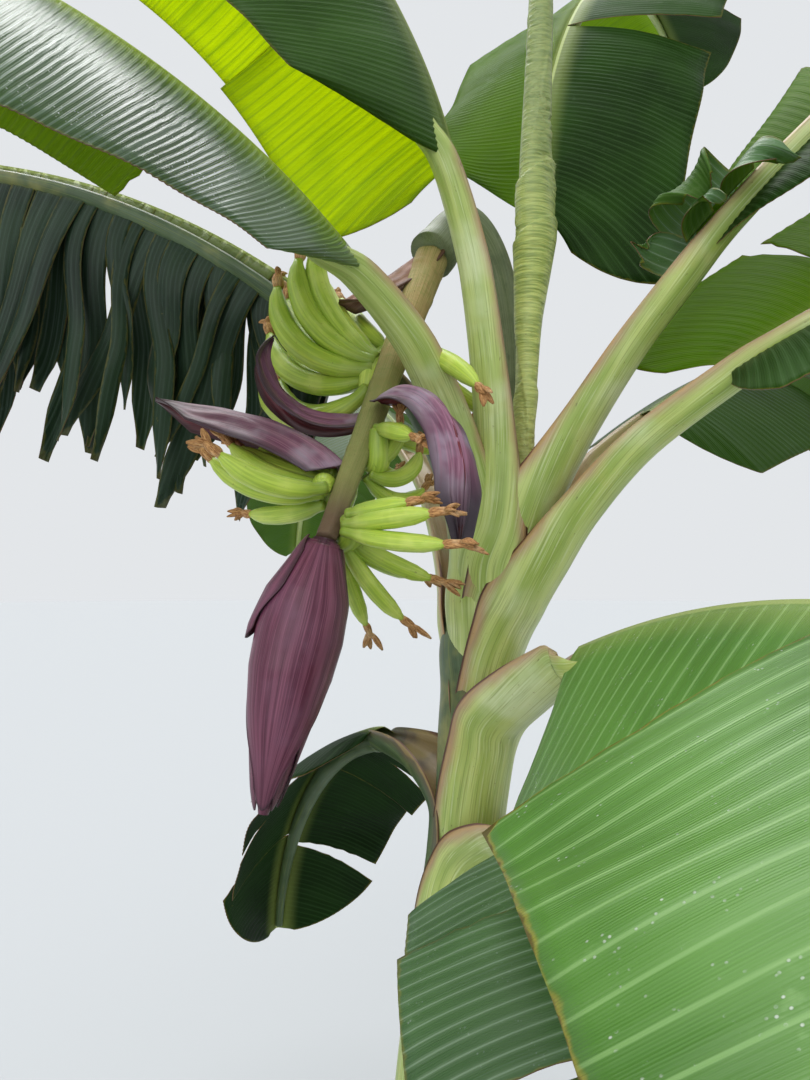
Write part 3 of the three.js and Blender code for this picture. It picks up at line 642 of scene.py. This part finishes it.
def makeBlade(name, leaf):
    bm = newBmesh()
    spine = spineOf(leaf)
    pick = random.Random(name)
    for side in (1, -1):
        i = 0 if side > 0 else 1
        cuts = [0, *leaf["tears"][i], 1]
        for n in range(len(cuts) - 1):
            a, b = cuts[n], cuts[n + 1]
            lift = leaf["flaps"][i][n] if leaf["flaps"] else liftOf(n, side)
            if leaf["shreds"]:
                count = max(2, round((b - a) * leaf["shreds"]))
                parts = sorted([a, b] + [a + (b - a) * (k + pick.uniform(-0.3, 0.3)) / count
                                         for k in range(1, count)])
                for k in range(len(parts) - 1):
                    bladeRibbon(bm, leaf, spine, side, parts[k], parts[k + 1],
                                pick.uniform(0.68, 1.08), lift + pick.uniform(-12, 12),
                                pick.uniform(-0.9, 0.9), pick.uniform(0, 50))
                continue
            inner = [(t, d) for t, d in leaf["notches"][i] if a + 0.03 < t < b - 0.03]
            marks = [(a, 0)] + inner + [(b, 0)]
            seed = pick.uniform(0, 50)
            for k in range(len(marks) - 1):
                bladePiece(bm, leaf, spine, side, marks[k], marks[k + 1], lift, seed)
    for row in leaf["rags"]:
        makeRag(bm, leaf, spine, row, pick.uniform(0, 50))
    looks = []
    for half in (*leaf["skin"], "dusty"):  # the dusty ones are for the scraps
        upper = half + " leaf"
        looks += [bladeSkins[upper], bladeSkins[undersides.get(half, upper)], bladeRim]
    finishPiece(name + "_blade", bm, looks, [name + "_blade_inner", name + "_blade_outer"],
                blades["thickness"])


for leafName, leafRow in leaves.items():
    makeBlade(leafName, leafRow)
print("leaf blades made")


# the pseudostem is its leaves' own sheaths, wrapped one over the other and listed from outside in
stem = {"top": 1445, "lean": 108, "leanOver": 1480, "wall": 3.4,
        "radii": ((0, 122), (40, 108), (300, 93), (600, 81), (900, 68), (1100, 58), (1300, 60),
                  (1445, 70)),
        "order": ("leaf_11", "leaf_10", "leaf_1", "leaf_2", "leaf_9", "leaf_3", "leaf_8", "leaf_4",
                  "leaf_5", "leaf_6", "leaf_7"),
        "upright": ("leaf_2", "leaf_4", "leaf_6", "leaf_7"),  # these rise along the stem before they bend
        "wraps": ((-460, 170), (-350, 160), (-250, 144), (-150, 122), (-60, 104))}
# past the point where a sheath leaves the stem: how far its middle has moved from the stem's axis to
# the leaf's own line, radius as a share of the stem's and of the stalk's, half wrap, channel
departure = ((0, 0.25, 0.97, 0, 98, 0.05), (60, 0.55, 0.93, 0, 101, 0.2), (125, 0.9, 0, 1.65, 104, 0.5),
             (210, 1, 0, 1.28, 104, 0.8), (330, 1, 0, 1.08, 104, 1))


def leanAt(z):
    return stem["lean"] * (np.maximum(z, 0) / stem["leanOver"]) ** 1.4


def stemCentre(z):
    return np.array([leanAt(z), 0, z])


def departHeight(name):
    return leaves[name]["foot" if name in stem["upright"] else "start"][2]


# the stem's outside radius, less one wall for each sheath that still lies outside this one
def sheathRadius(name, z):
    heights, radii = zip(*stem["radii"])
    inside = stem["order"][:stem["order"].index(name)]
    walls = sum(smooth(departHeight(n) + 70 - z, -70, 70) for n in inside)
    return np.interp(z, heights, radii) - stem["wall"] * walls


def headingAt(leaf, spine, s):
    return leaf["azimuth"] + leaf["swing"] * (s / spine["total"]) ** leaf["swingPower"]


def stalkRows(name, leaf, spine):
    foot, start = np.array(leaf["foot"], float), np.array(leaf["start"], float)
    rise = np.linalg.norm(start - foot) if name in stem["upright"] else 0
    depart, end = departHeight(name), rise + leaf["stalk"]

    def pointAt(s):
        return frameAt(spine, np.array([s]))[0][0]

    rows = []  # centre, radius, half wrap, channel, heading, hang under the blade, way past departure
    for below, wrap in stem["wraps"]:
        z = depart + below
        rows.append([*stemCentre(z), sheathRadius(name, z), wrap, 0, leaf["azimuth"], 0, below])
    for past, moved, ofStem, ofStalk, wrap, channel in departure:
        if past > end - 20:
            continue
        s = max(past - rise, 0)
        own = foot + (start - foot) * past / rise if past < rise else pointAt(s)
        centre = stemCentre(own[2]) * (1 - moved) + own * moved
        radius = ofStem * sheathRadius(name, own[2]) + ofStalk * leaf["radius"]
        rows.append([*centre, radius, wrap, channel, headingAt(leaf, spine, s), 0, past])
    last = rows[-1][8]
    for share in (0.5, 1) if end - last > 150 else (1,):
        past = last + (end - last) * share
        s = past - rise
        radius = leaf["radius"] * max(0.86, 1.05 - 0.0007 * (past - 330))
        rows.append([*pointAt(s), radius, 106, 1, headingAt(leaf, spine, s), 0.35 * (share == 1), past])
    for t in (leaf["ribFrom"], *np.linspace(0.1, 0.975, 13)):
        s = leaf["stalk"] + leaf["blade"] * t
        rows.append([*pointAt(s), leaf["radius"] * (0.82 - 0.56 * t), 112 + 50 * t, 1,
                     headingAt(leaf, spine, s), 1, s + rise])
    return rows


# rings along a stalk, points on the outside and on the inside of its section, wall and lip in mm
stalks = {"rings": 176, "outer": 24, "inner": 14, "wall": 4.5, "lip": 1.5}


def makeStalk(name, leaf):
    spine = spineOf(leaf)
    rings, outer, inner = stalks["rings"], stalks["outer"], stalks["inner"]
    line = throughPoints(stalkRows(name, leaf, spine), np.linspace(0, 1, rings))
    centre, radius, wrap, channel = line[:, :3], line[:, 3], line[:, 4], line[:, 5]
    heading, past = line[:, 6], line[:, 8]
    hang = np.clip(line[:, 7], 0, 1) * leaf["ribHangs"]
    ahead = unit(np.gradient(centre, axis=0))
    h = np.radians(heading)
    above = unit(np.cross(ahead, np.stack([-np.sin(h), np.cos(h), 0 * h], 1)))
    aside = np.cross(above, ahead)
    # under the blade the section turns to face the fold between its two halves and hangs in it
    fold = (leaf["lift"][0] - leaf["lift"][1]) / 2
    tilt = np.radians(fold * hang)
    aside, above = turned(aside, above, tilt), turned(above, -aside, tilt)
    depth = min(1 / math.cos(math.radians(sum(leaf["lift"]) / 2)), 1.5)
    centre = centre - above * (depth * radius * hang)[:, None]
    length = lengthsOf(centre)
    sides = outer + inner

    def rule(x, y):
        index = np.round(x * (rings + 1))
        k = np.clip(index - 1, 0, rings - 1).astype(int)
        closed = ((index > 0) & (index < rings + 1)).astype(float)
        spot = np.round(y * sides).astype(int) % sides
        outside = spot < outer
        share = np.where(outside, spot / (outer - 1) * 2 - 1, 1 - (spot - outer + 0.5) / inner * 2)
        theta = np.radians(wrap[k]) * share * np.where(outside, 1, 0.97)
        wall = stalks["wall"] * (1 - channel[k]) * (1.1 - share ** 2) + radius[k] * 0.38 * channel[k]
        lift = 0.3 * radius[k] * channel[k]
        r = np.where(outside, radius[k], radius[k] - wall)
        rise = np.where(outside, 0, lift * np.cos(theta) ** 2)
        lip = np.where(outside, stalks["lip"] * smooth(np.abs(share), 0.9, 1.0) * (1 - channel[k]), 0)
        r = (r + lip) * closed
        points = (centre[k] + aside[k] * (r * np.sin(theta))[:, None]
                  - above[k] * (r * np.cos(theta) - rise * closed)[:, None])
        girth = np.radians(wrap[k]) * radius[k]
        edge = np.where(outside, (1 - np.abs(share)) * girth, 3 + 0 * share)
        edge = edge + (7 + 38 * smooth(hang[k], 0.3, 0.9)) * smooth(past[k], 110, 230)
        return placed(points, share * girth, length[k], edge)

    bm = newBmesh()
    sheet(bm, rings + 1, sides, rule)
    finishPiece(name + "_stem", bm, [stalkSkins[leaf["stalkSkin"]]],
                [name + "_stalk"])


for leafName, leafRow in leaves.items():
    makeStalk(leafName, leafRow)
print("leaf stalks made")


# each old sheath: heading, height of its top, half wrap there
trunk = {"inset": 14, "taperInset": 26, "flare": 0.07, "coreGrid": (150, 72), "grid": (70, 56),
         "sheaths": (
    (-118, 1010, 66), (18, 930, 60), (150, 820, 62), (-60, 690, 58), (80, 590, 60), (-160, 470, 58),
    (-15, 350, 60), (120, 240, 62))}


def flare(theta, z):
    return 1 + trunk["flare"] * np.exp(-z / 75) * np.sin(5 * theta + 0.6)


def makeTrunk():
    heights, radii = zip(*stem["radii"])

    def ringAt(along, turn):
        z = stem["top"] * along ** 1.1
        centre = np.stack([leanAt(z), 0 * z, z], 1)
        spiral = (turn / (2 * math.pi) * 3 + z / 330) % 1
        r = np.interp(z, heights, radii) * flare(turn, z)
        r = r - trunk["inset"] - trunk["taperInset"] * smooth(z, 900, 1300) - 3 * spiral
        return centre, np.array([[1, 0, 0]]), np.array([[0, 1, 0]]), r, z

    roundPiece("trunk_core", trunk["coreGrid"], ringAt, trunkSkin, "trunk")
    for n, (heading, height, half) in enumerate(trunk["sheaths"]):
        bm = newBmesh()
        phase = random.Random(n).uniform(0, 6)
        outside = len(trunk["sheaths"]) - 1 - n

        def rule(x, y):
            side = np.where(y < 0.5, 0, 1)  # outside first, then back along the inside
            share = np.where(y < 0.5, y * 4 - 1, 3 - y * 4)
            ragged = 16 * np.sin(share * 9 + phase) + 9 * np.sin(share * 23 + 2 * phase)
            top = height + ragged - 70 * share ** 2
            z = top * x ** 0.9
            wrap = np.interp(z / height, (0, 0.35, 0.7, 1), (172, 160, 118, half))
            theta = np.radians(heading + wrap * share)
            r = np.interp(z, heights, radii) - 1.6 * outside * smooth(z, 60, 200)
            r = r * flare(theta, z) - 2.6 * side
            near = smooth(height - z, 90, 0)
            r = r + near * (7 + 5 * np.sin(share * 7 + phase)) * (1 - share ** 2)
            points = np.stack([leanAt(z) + r * np.cos(theta), r * np.sin(theta), np.maximum(z, 0)], 1)
            girth = np.radians(wrap) * r
            edge = np.minimum((1 - np.abs(share)) * girth, np.maximum(top - z, 0))
            return placed(points, share * girth, z, edge)

        sheet(bm, *trunk["grid"], rule)
        finishPiece("old_sheath_%d" % (n + 1), bm, [trunkSkin], [])


makeTrunk()
print("trunk made")


# the rolled leaf's collars are the heights along it where an outer turn of the roll ends
rolled = {"path": ((142, 12, 1400), (152, 12, 1560), (159, 10, 1690), (166, 10, 1828), (178, 8, 1967),
                   (181, 2, 2134), (187, -8, 2331), (196, -4, 2600), (214, 10, 2960)),
          "radii": (20, 18, 17, 26, 33, 25, 20, 17, 5), "overlap": 0.17, "twist": 1.6, "creases": 2.6,
          "collars": (330, 580, 668, 1120), "grid": (620, 56)}
fruitStalk = {"upper": ((112, 46, 1400), (138, 78, 1600), (150, 112, 1810), (128, 124, 1965),
                        (76, 98, 2030), (22, 54, 1962)),
              "top": (18, 50, 1945), "end": (-117, -200, 1500), "radius": 27, "cuffFlare": 9,
              "taper": 14, "scarPitch": 62, "cuffGrid": (110, 30), "grid": (150, 30)}
rachisTop = np.array(fruitStalk["top"], float)
rachisEnd = np.array(fruitStalk["end"], float)
down = unit(rachisEnd - rachisTop)
left = np.array([-1.0, 0, 0])
left = unit(left - down * left.dot(down))
back = np.cross(left, down)
back = back if back[1] > 0 else -back


def lineRings(points, radiusAt, count=200):
    line = throughPoints(points, np.linspace(0, 1, count))
    aside, above = axesAlong(line)
    length = lengthsOf(line)
    even = np.interp(np.linspace(0, length[-1], count), length, np.linspace(0, 1, count))

    def ringAt(along, turn):
        u = np.interp(along, np.linspace(0, 1, count), even)
        s = along * length[-1]
        return sampled(line, u), sampled(aside, u), sampled(above, u), radiusAt(along, turn, s), s
    return ringAt


def makeRolledLeaf():
    marks = lengthsOf(rolled["path"])

    def radiusAt(along, turn, s):
        r = np.interp(s, marks, rolled["radii"])
        seam = (turn / (2 * math.pi) + rolled["twist"] * along + 0.05 * np.sin(s / 60)) % 1
        second = (turn / (2 * math.pi) - 2.3 * along + 0.4) % 1
        crease = s / rolled["creases"] + 2.6 * np.sin(turn * 2 + s / 90) + 2.2 * np.sin(turn * 3 - s / 37)
        broken = np.clip(0.35 + 1.1 * waves(7, s / 34, turn * 1.4), 0, 1)
        broken = broken * np.clip(0.4 + waves(9, s / 90, turn), 0, 1)
        sharp = (1 - np.abs(np.sin(crease / 2))) ** 3
        sharp = sharp + 0.6 * (1 - np.abs(np.sin(0.9 * crease + 2 * turn))) ** 3
        fold = broken * (0.35 * np.sin(0.43 * crease + turn) - 1.5 * sharp)
        collar = 0
        for at in rolled["collars"]:
            lip = at + 22 * np.sin(turn + at)
            collar = collar + smooth(s, lip, lip - 5) * smooth(s, at - 150, at)
        loose = 1 + 0.05 * waves(3, s / 60, turn)
        flat = 1 + 0.1 * np.cos(2 * turn + s / 130)
        wrapped = 0.97 - rolled["overlap"] * seam - 0.08 * second + 0.16 * collar
        return r * loose * flat * wrapped + (1.6 + 3.4 * smooth(s, 520, 680)) * fold * r / 28

    roundPiece("rolled_leaf_skin", rolled["grid"], lineRings(rolled["path"], radiusAt, 400),
               roundSkins["rolled young leaf"], "rolled_leaf")


def makeFruitStalk():
    def cuffRadius(along, turn, s):
        lip = 2.5 * smooth(along, 0.955, 0.985)
        flared = fruitStalk["radius"] + fruitStalk["cuffFlare"] * np.maximum(along - 0.6, 0) / 0.4
        return flared + 0.8 * np.sin(3 * turn + s / 80) + lip

    roundPiece("fruit_stalk_cuff", fruitStalk["cuffGrid"], lineRings(fruitStalk["upper"], cuffRadius),
               roundSkins["green fruit stalk"], "fruit_stalk_upper")

    def rachisRadius(along, turn, s):
        pitch = fruitStalk["scarPitch"]
        scar = np.exp(-((s % pitch - pitch / 2) / 3.5) ** 2) * (0.6 + 0.4 * np.sin(turn + s / pitch))
        tapered = fruitStalk["radius"] - fruitStalk["taper"] * along
        return tapered + 1.1 * scar + 0.7 * np.sin(6 * turn + 0.8 * np.sin(s / 40))

    points = [rachisTop + down * d for d in np.linspace(-12, 526, 12)]
    roundPiece("fruit_stalk_skin", fruitStalk["grid"], lineRings(points, rachisRadius),
               roundSkins["hairy fruit stalk"], "fruit_stalk_lower")


makeRolledLeaf()
makeFruitStalk()
print("rolled leaf and fruit stalk made")


hands = {  # each finger: turn round the stalk, place down it, length, first dip, how far it curls up
    "hand_top": {"radius": 17, "flower": 0.5, "husk": 27,
        "cushion": ((-40, 184), (-22, 215), (-14, 245), (-24, 266)), "fingers": ((-41, 180, 192, -41, 17),
        (-17, 209, 214, -33, 33), (-31, 214, 218, -11, 66), (-15, 225, 226, 6, 81),
        (-32, 233, 232, 14, 86), (-19, 245, 236, 22, 92), (-34, 260, 242, 36, 109),
        (-21, 267, 232, 54, 127), (2, 220, 226, -20, 60), (4, 226, 226, 0, 82), (0, 238, 228, 18, 97))},
    "hand_top_back": {"radius": 13, "flower": 0.5, "cushion": ((142, 198), (190, 186), (232, 180)),
        "fingers": ((142, 200, 164, 27, -24), (234, 178, 165, -21, -14), (222, 189, 166, -4, 7))},
    "hand_left": {"radius": 13, "flower": 0.9, "cushion": ((-84, 466), (-35, 448), (0, 448), (30, 462)),
        "fingers": ((34, 462, 144, 41, 54), (-13, 437, 148, -2, 26), (-22, 423, 141, -9, 20),
        (13, 466, 152, 34, 63), (-31, 470, 133, 11, 24), (-39, 463, 81, -41, 24), (-88, 468, 84, -59, 17),
        (-3, 447, 151, 14, 52))},
    "hand_right": {"radius": 11, "flower": 0.9,
        "cushion": ((134, 358), (190, 388), (225, 385), (250, 350)), "fingers": ((132, 357, 86, 25, -7),
        (190, 400, 75, -48, 60), (255, 345, 117, 30, 91), (211, 408, 97, 2, 106),
        (224, 335, 103, -19, 10), (230, 410, 124, 18, 91))},
    "hand_bottom": {"radius": 11.5, "flower": 1.2,
        "cushion": ((143, 500), (190, 507), (230, 512), (252, 510)), "fingers": ((143, 493, 96, 5, 5),
        (144, 509, 133, 4, 1), (149, 518, 151, 18, 13), (220, 507, 139, 2, 18), (233, 512, 148, 24, 25),
        (253, 510, 150, 23, 14), (230, 513, 137, -6, 15))},
}
fingers = {"ridge": 0.055, "cushion": 15, "grid": (26, 20), "cushionGrid": (24, 18),
           "huskGrid": (8, 9), "petalGrid": (8, 8)}


def outFrom(phi):
    return turned(left, -back, math.radians(phi))


def fingerLine(finger):
    phi, place, length, dip, curl = finger
    out = outFrom(phi)
    up = -0.5 * down + np.array([0, 0, 0.5])
    up = unit(up - out * up.dot(out))
    points = [rachisTop + down * place + out * 24]
    steps = 16
    for i in range(steps):
        turn = math.radians(-dip + curl * (i + 0.5) / steps)
        points.append(points[-1] + turned(out, up, turn) * length / steps)
    return np.array(points)


def makeFinger(bm, hand, finger, pick):
    points = fingerLine(finger)
    size = hand["radius"] * pick.uniform(0.94, 1.03)
    phase = pick.uniform(0, 1.2)

    def radiusAt(along, turn, s):
        body = np.interp(along, (0, 0.1, 0.2, 0.35, 0.6, 0.8, 0.92, 0.97, 1.0),
                         (0.62, 0.6, 0.86, 1.0, 1.05, 0.95, 0.66, 0.42, 0.36))
        corner = (np.abs(np.cos(2.5 * turn + phase)) ** 1.5 - 0.5) * smooth(along, 0.1, 0.3)
        return size * body * (1 + fingers["ridge"] * corner)

    tube(bm, *fingers["grid"], lineRings(points, radiusAt, 60))
    # the withered flower: a husk that flares from the tip, and a few shrivelled petals
    way = unit(points[-1] - points[-2])
    reach = hand.get("husk", 17 * hand["flower"] + 8)
    husk = [points[-1] - way * 3, points[-1] + way * reach * 0.4,
            points[-1] + way * reach + np.array([pick.uniform(-3, 3), pick.uniform(-3, 3), -1])]

    def huskRadius(along, turn, s):
        body = np.interp(along, (0, 0.2, 0.55, 0.85, 1), (5.5, 7.6, 7.0, 5.2, 3.2)) * size / 15
        return body * (1 + 0.18 * np.sin(3 * turn + 4 * along + phase))

    tube(bm, *fingers["huskGrid"], lineRings(husk, huskRadius, 12), material=1)
    for k in range(round(2 + 3 * hand["flower"])):
        side = turned(left, back, pick.uniform(0, 6.28))
        side = side - way * side.dot(way)
        side = side / max(np.linalg.norm(side), 0.1)
        tip = points[-1] + way * reach
        end = tip + way * pick.uniform(6, 20) * hand["flower"] + side * pick.uniform(6, 15)
        petal = [tip - way * 8 + side * 3, tip + side * 5, end + np.array([0, 0, -pick.uniform(0, 7)])]
        flat = lambda a, q, s: 1.0 - 0.5 * a + 4.2 * np.abs(np.cos(q)) * np.sin(2.6 * a + 0.3)
        tube(bm, *fingers["petalGrid"], lineRings(petal, flat, 12), material=1)


def makeHand(name, hand):
    bm = newBmesh()
    pick = random.Random(name)
    for finger in hand["fingers"]:
        makeFinger(bm, hand, finger, pick)
    arc = [rachisTop + down * place + 28 * outFrom(phi) for phi, place in hand["cushion"]]
    swell = lambda a, q, s: fingers["cushion"] * (0.75 + 0.3 * np.sin(math.pi * a))
    tube(bm, *fingers["cushionGrid"], lineRings(arc, swell, 60))
    finishPiece(name + "_fruit", bm, [roundSkins["green banana skin"], roundSkins["withered flower"]],
                [name])


for handName, handRow in hands.items():
    makeHand(handName, handRow)
print("hands made")


bud = {"tip": (-182, -244, 1184), "bow": (-6, -4, 0), "length": 320, "thickness": 1.4, "core": -2,
       "coreGrid": (60, 40), "grid": (64, 36),
       "radii": (17, 30, 44, 48, 45, 37, 27, 18, 8),
       "shells": (  # turn round the bud, half wrap, where it starts, how far it reaches, gap, lift
           (200, 80, 0.02, 0.97, 0.0, 0), (80, 84, 0.02, 0.99, 1.4, 0), (-40, 82, 0.03, 0.98, 2.6, 0),
           (150, 70, 0.04, 0.955, 3.6, 0), (-95, 92, 0.05, 0.965, 4.6, 0.3), (-8, 56, 0.0, 0.42, 6.0, 7))}
bractRule = {"bend": 0, "swing": 0, "swingPower": 1, "stalk": 10, "blade": 200, "lift": (-20, -20),
             "curl": (-60, -60), "taper": 0.001, "forward": (0.22, 0.22), "backSweep": (0, 0),
             "roll": 9, "crinkle": 0.6, "thickness": 2.0, "grid": (56, 20)}
bracts = {
    "bract_left": {"start": (-90, -156, 1592), "azimuth": 150, "pitch": 50, "swing": 50, "blade": 282,
        "width": 120, "droop": 50, "power": 0.6, "lift": (-22, -22), "curl": (-50, -50)},
    "bract_right": {"start": (-66, -112, 1684), "azimuth": -42, "pitch": 38, "swing": -25, "blade": 325,
        "width": 66, "droop": 150, "power": 0.7, "roll": 15, "crinkle": 2.2},
    "bract_small": {"start": (-66, -66, 1690), "azimuth": 192, "pitch": -14, "width": 80, "droop": -125,
        "power": 1.4, "roll": 12, "crinkle": 2.0},
    "bract_dry": {"start": (30, 62, 1990), "azimuth": 205, "pitch": -42, "width": 90, "droop": -10,
        "power": 1, "lift": (-25, -25), "curl": (-40, -40)},
}
bracts = {name: {**bractRule, **row} for name, row in bracts.items()}


def budRadius(along, gap):
    return np.interp(along, np.linspace(0, 1, len(bud["radii"])), bud["radii"]) + gap


def makeBud():
    middle = (rachisEnd + bud["tip"]) / 2 + bud["bow"]
    line = throughPoints([rachisEnd, middle, bud["tip"]], np.linspace(0, 1, 120))
    aside, above = axesAlong(line, left)
    core = lineRings([line[0], line[60], line[-1]], lambda along, turn, s: budRadius(along, bud["core"]))
    roundPiece("bud_core", bud["coreGrid"], core, bractSkins["bud outside"], "bud")
    for n, (turn0, wrap, start, reach, gap, lift) in enumerate(bud["shells"]):
        bm = newBmesh()

        def rule(x, y):
            share = y * 2 - 1
            tipped = reach - 0.10 * np.abs(share) ** 2.2 * (reach - start)
            along = start + (tipped - start) * x
            radius = budRadius(along, gap)
            narrow = np.minimum(1, 0.62 + 1.4 * x) * np.maximum(1 - smooth(x, 0.62, 1.0) * 0.62, 0.2)
            theta = np.radians(turn0 + wrap * share * narrow)
            ripple = 0.9 * np.sin(share * 9 + n) * smooth(np.abs(share), 0.6, 1)
            r = radius + ripple + lift * smooth(x, 0.3, 1.0) * (1.2 - share ** 2)
            k = sampled(line, along)
            points = (k + sampled(aside, along) * (r * np.cos(theta))[:, None]
                      + sampled(above, along) * (r * np.sin(theta))[:, None])
            edge = np.minimum((1 - np.abs(share)) * np.radians(wrap) * radius, (1 - x) * 300)
            return placed(points, along * bud["length"], share * wrap, edge)

        sheet(bm, *bud["grid"], rule, flip=True)
        finishPiece("bud_bract_%d" % (n + 1), bm,
                    [bractSkins[look] for look in ("bud outside", "bract inside", "bract inside")],
                    [], bud["thickness"])


def makeBract(name, spec):
    bm = newBmesh()
    spine = spineOf(spec)
    seed = len(name)

    def half(side):
        def rule(x, w):
            t = 0.01 + 0.98 * x
            body = spec["width"] / 2 * bractShape(t)
            roll = spec["roll"] * smooth(w, 0.6, 1.0) ** 1.5 * (1 if side > 0 else 0.7)
            crinkle = spec["crinkle"] * np.sin(w * 15 + 3 * waves(seed + 2, t * 7)) * smooth(t, 0.05, 0.3)
            up = 1.2 * waves(seed, t * 9, w * 3) + 3.0 * w ** 2 * waves(seed + 1, t * 6) + roll + crinkle
            points = bladePoint(spec, spine, bractShape, side, t, w, up, 0)
            edge = np.minimum((1 - w) * body, (1 - x) * spec["blade"])
            return placed(points, t * spec["blade"], side * w * body, edge)
        sheet(bm, *spec["grid"], rule, flip=side < 0)

    half(1)
    half(-1)
    dry = name == "bract_dry"
    looks = [bractSkins["dry bract" if dry else look]
             for look in ("bract outside", "bract inside", "bract inside")]
    finishPiece(name + "_skin", bm, looks, [name], spec["thickness"])


makeBud()
for bractName, bractRow in bracts.items():
    makeBract(bractName, bractRow)
print("bud and bracts made")
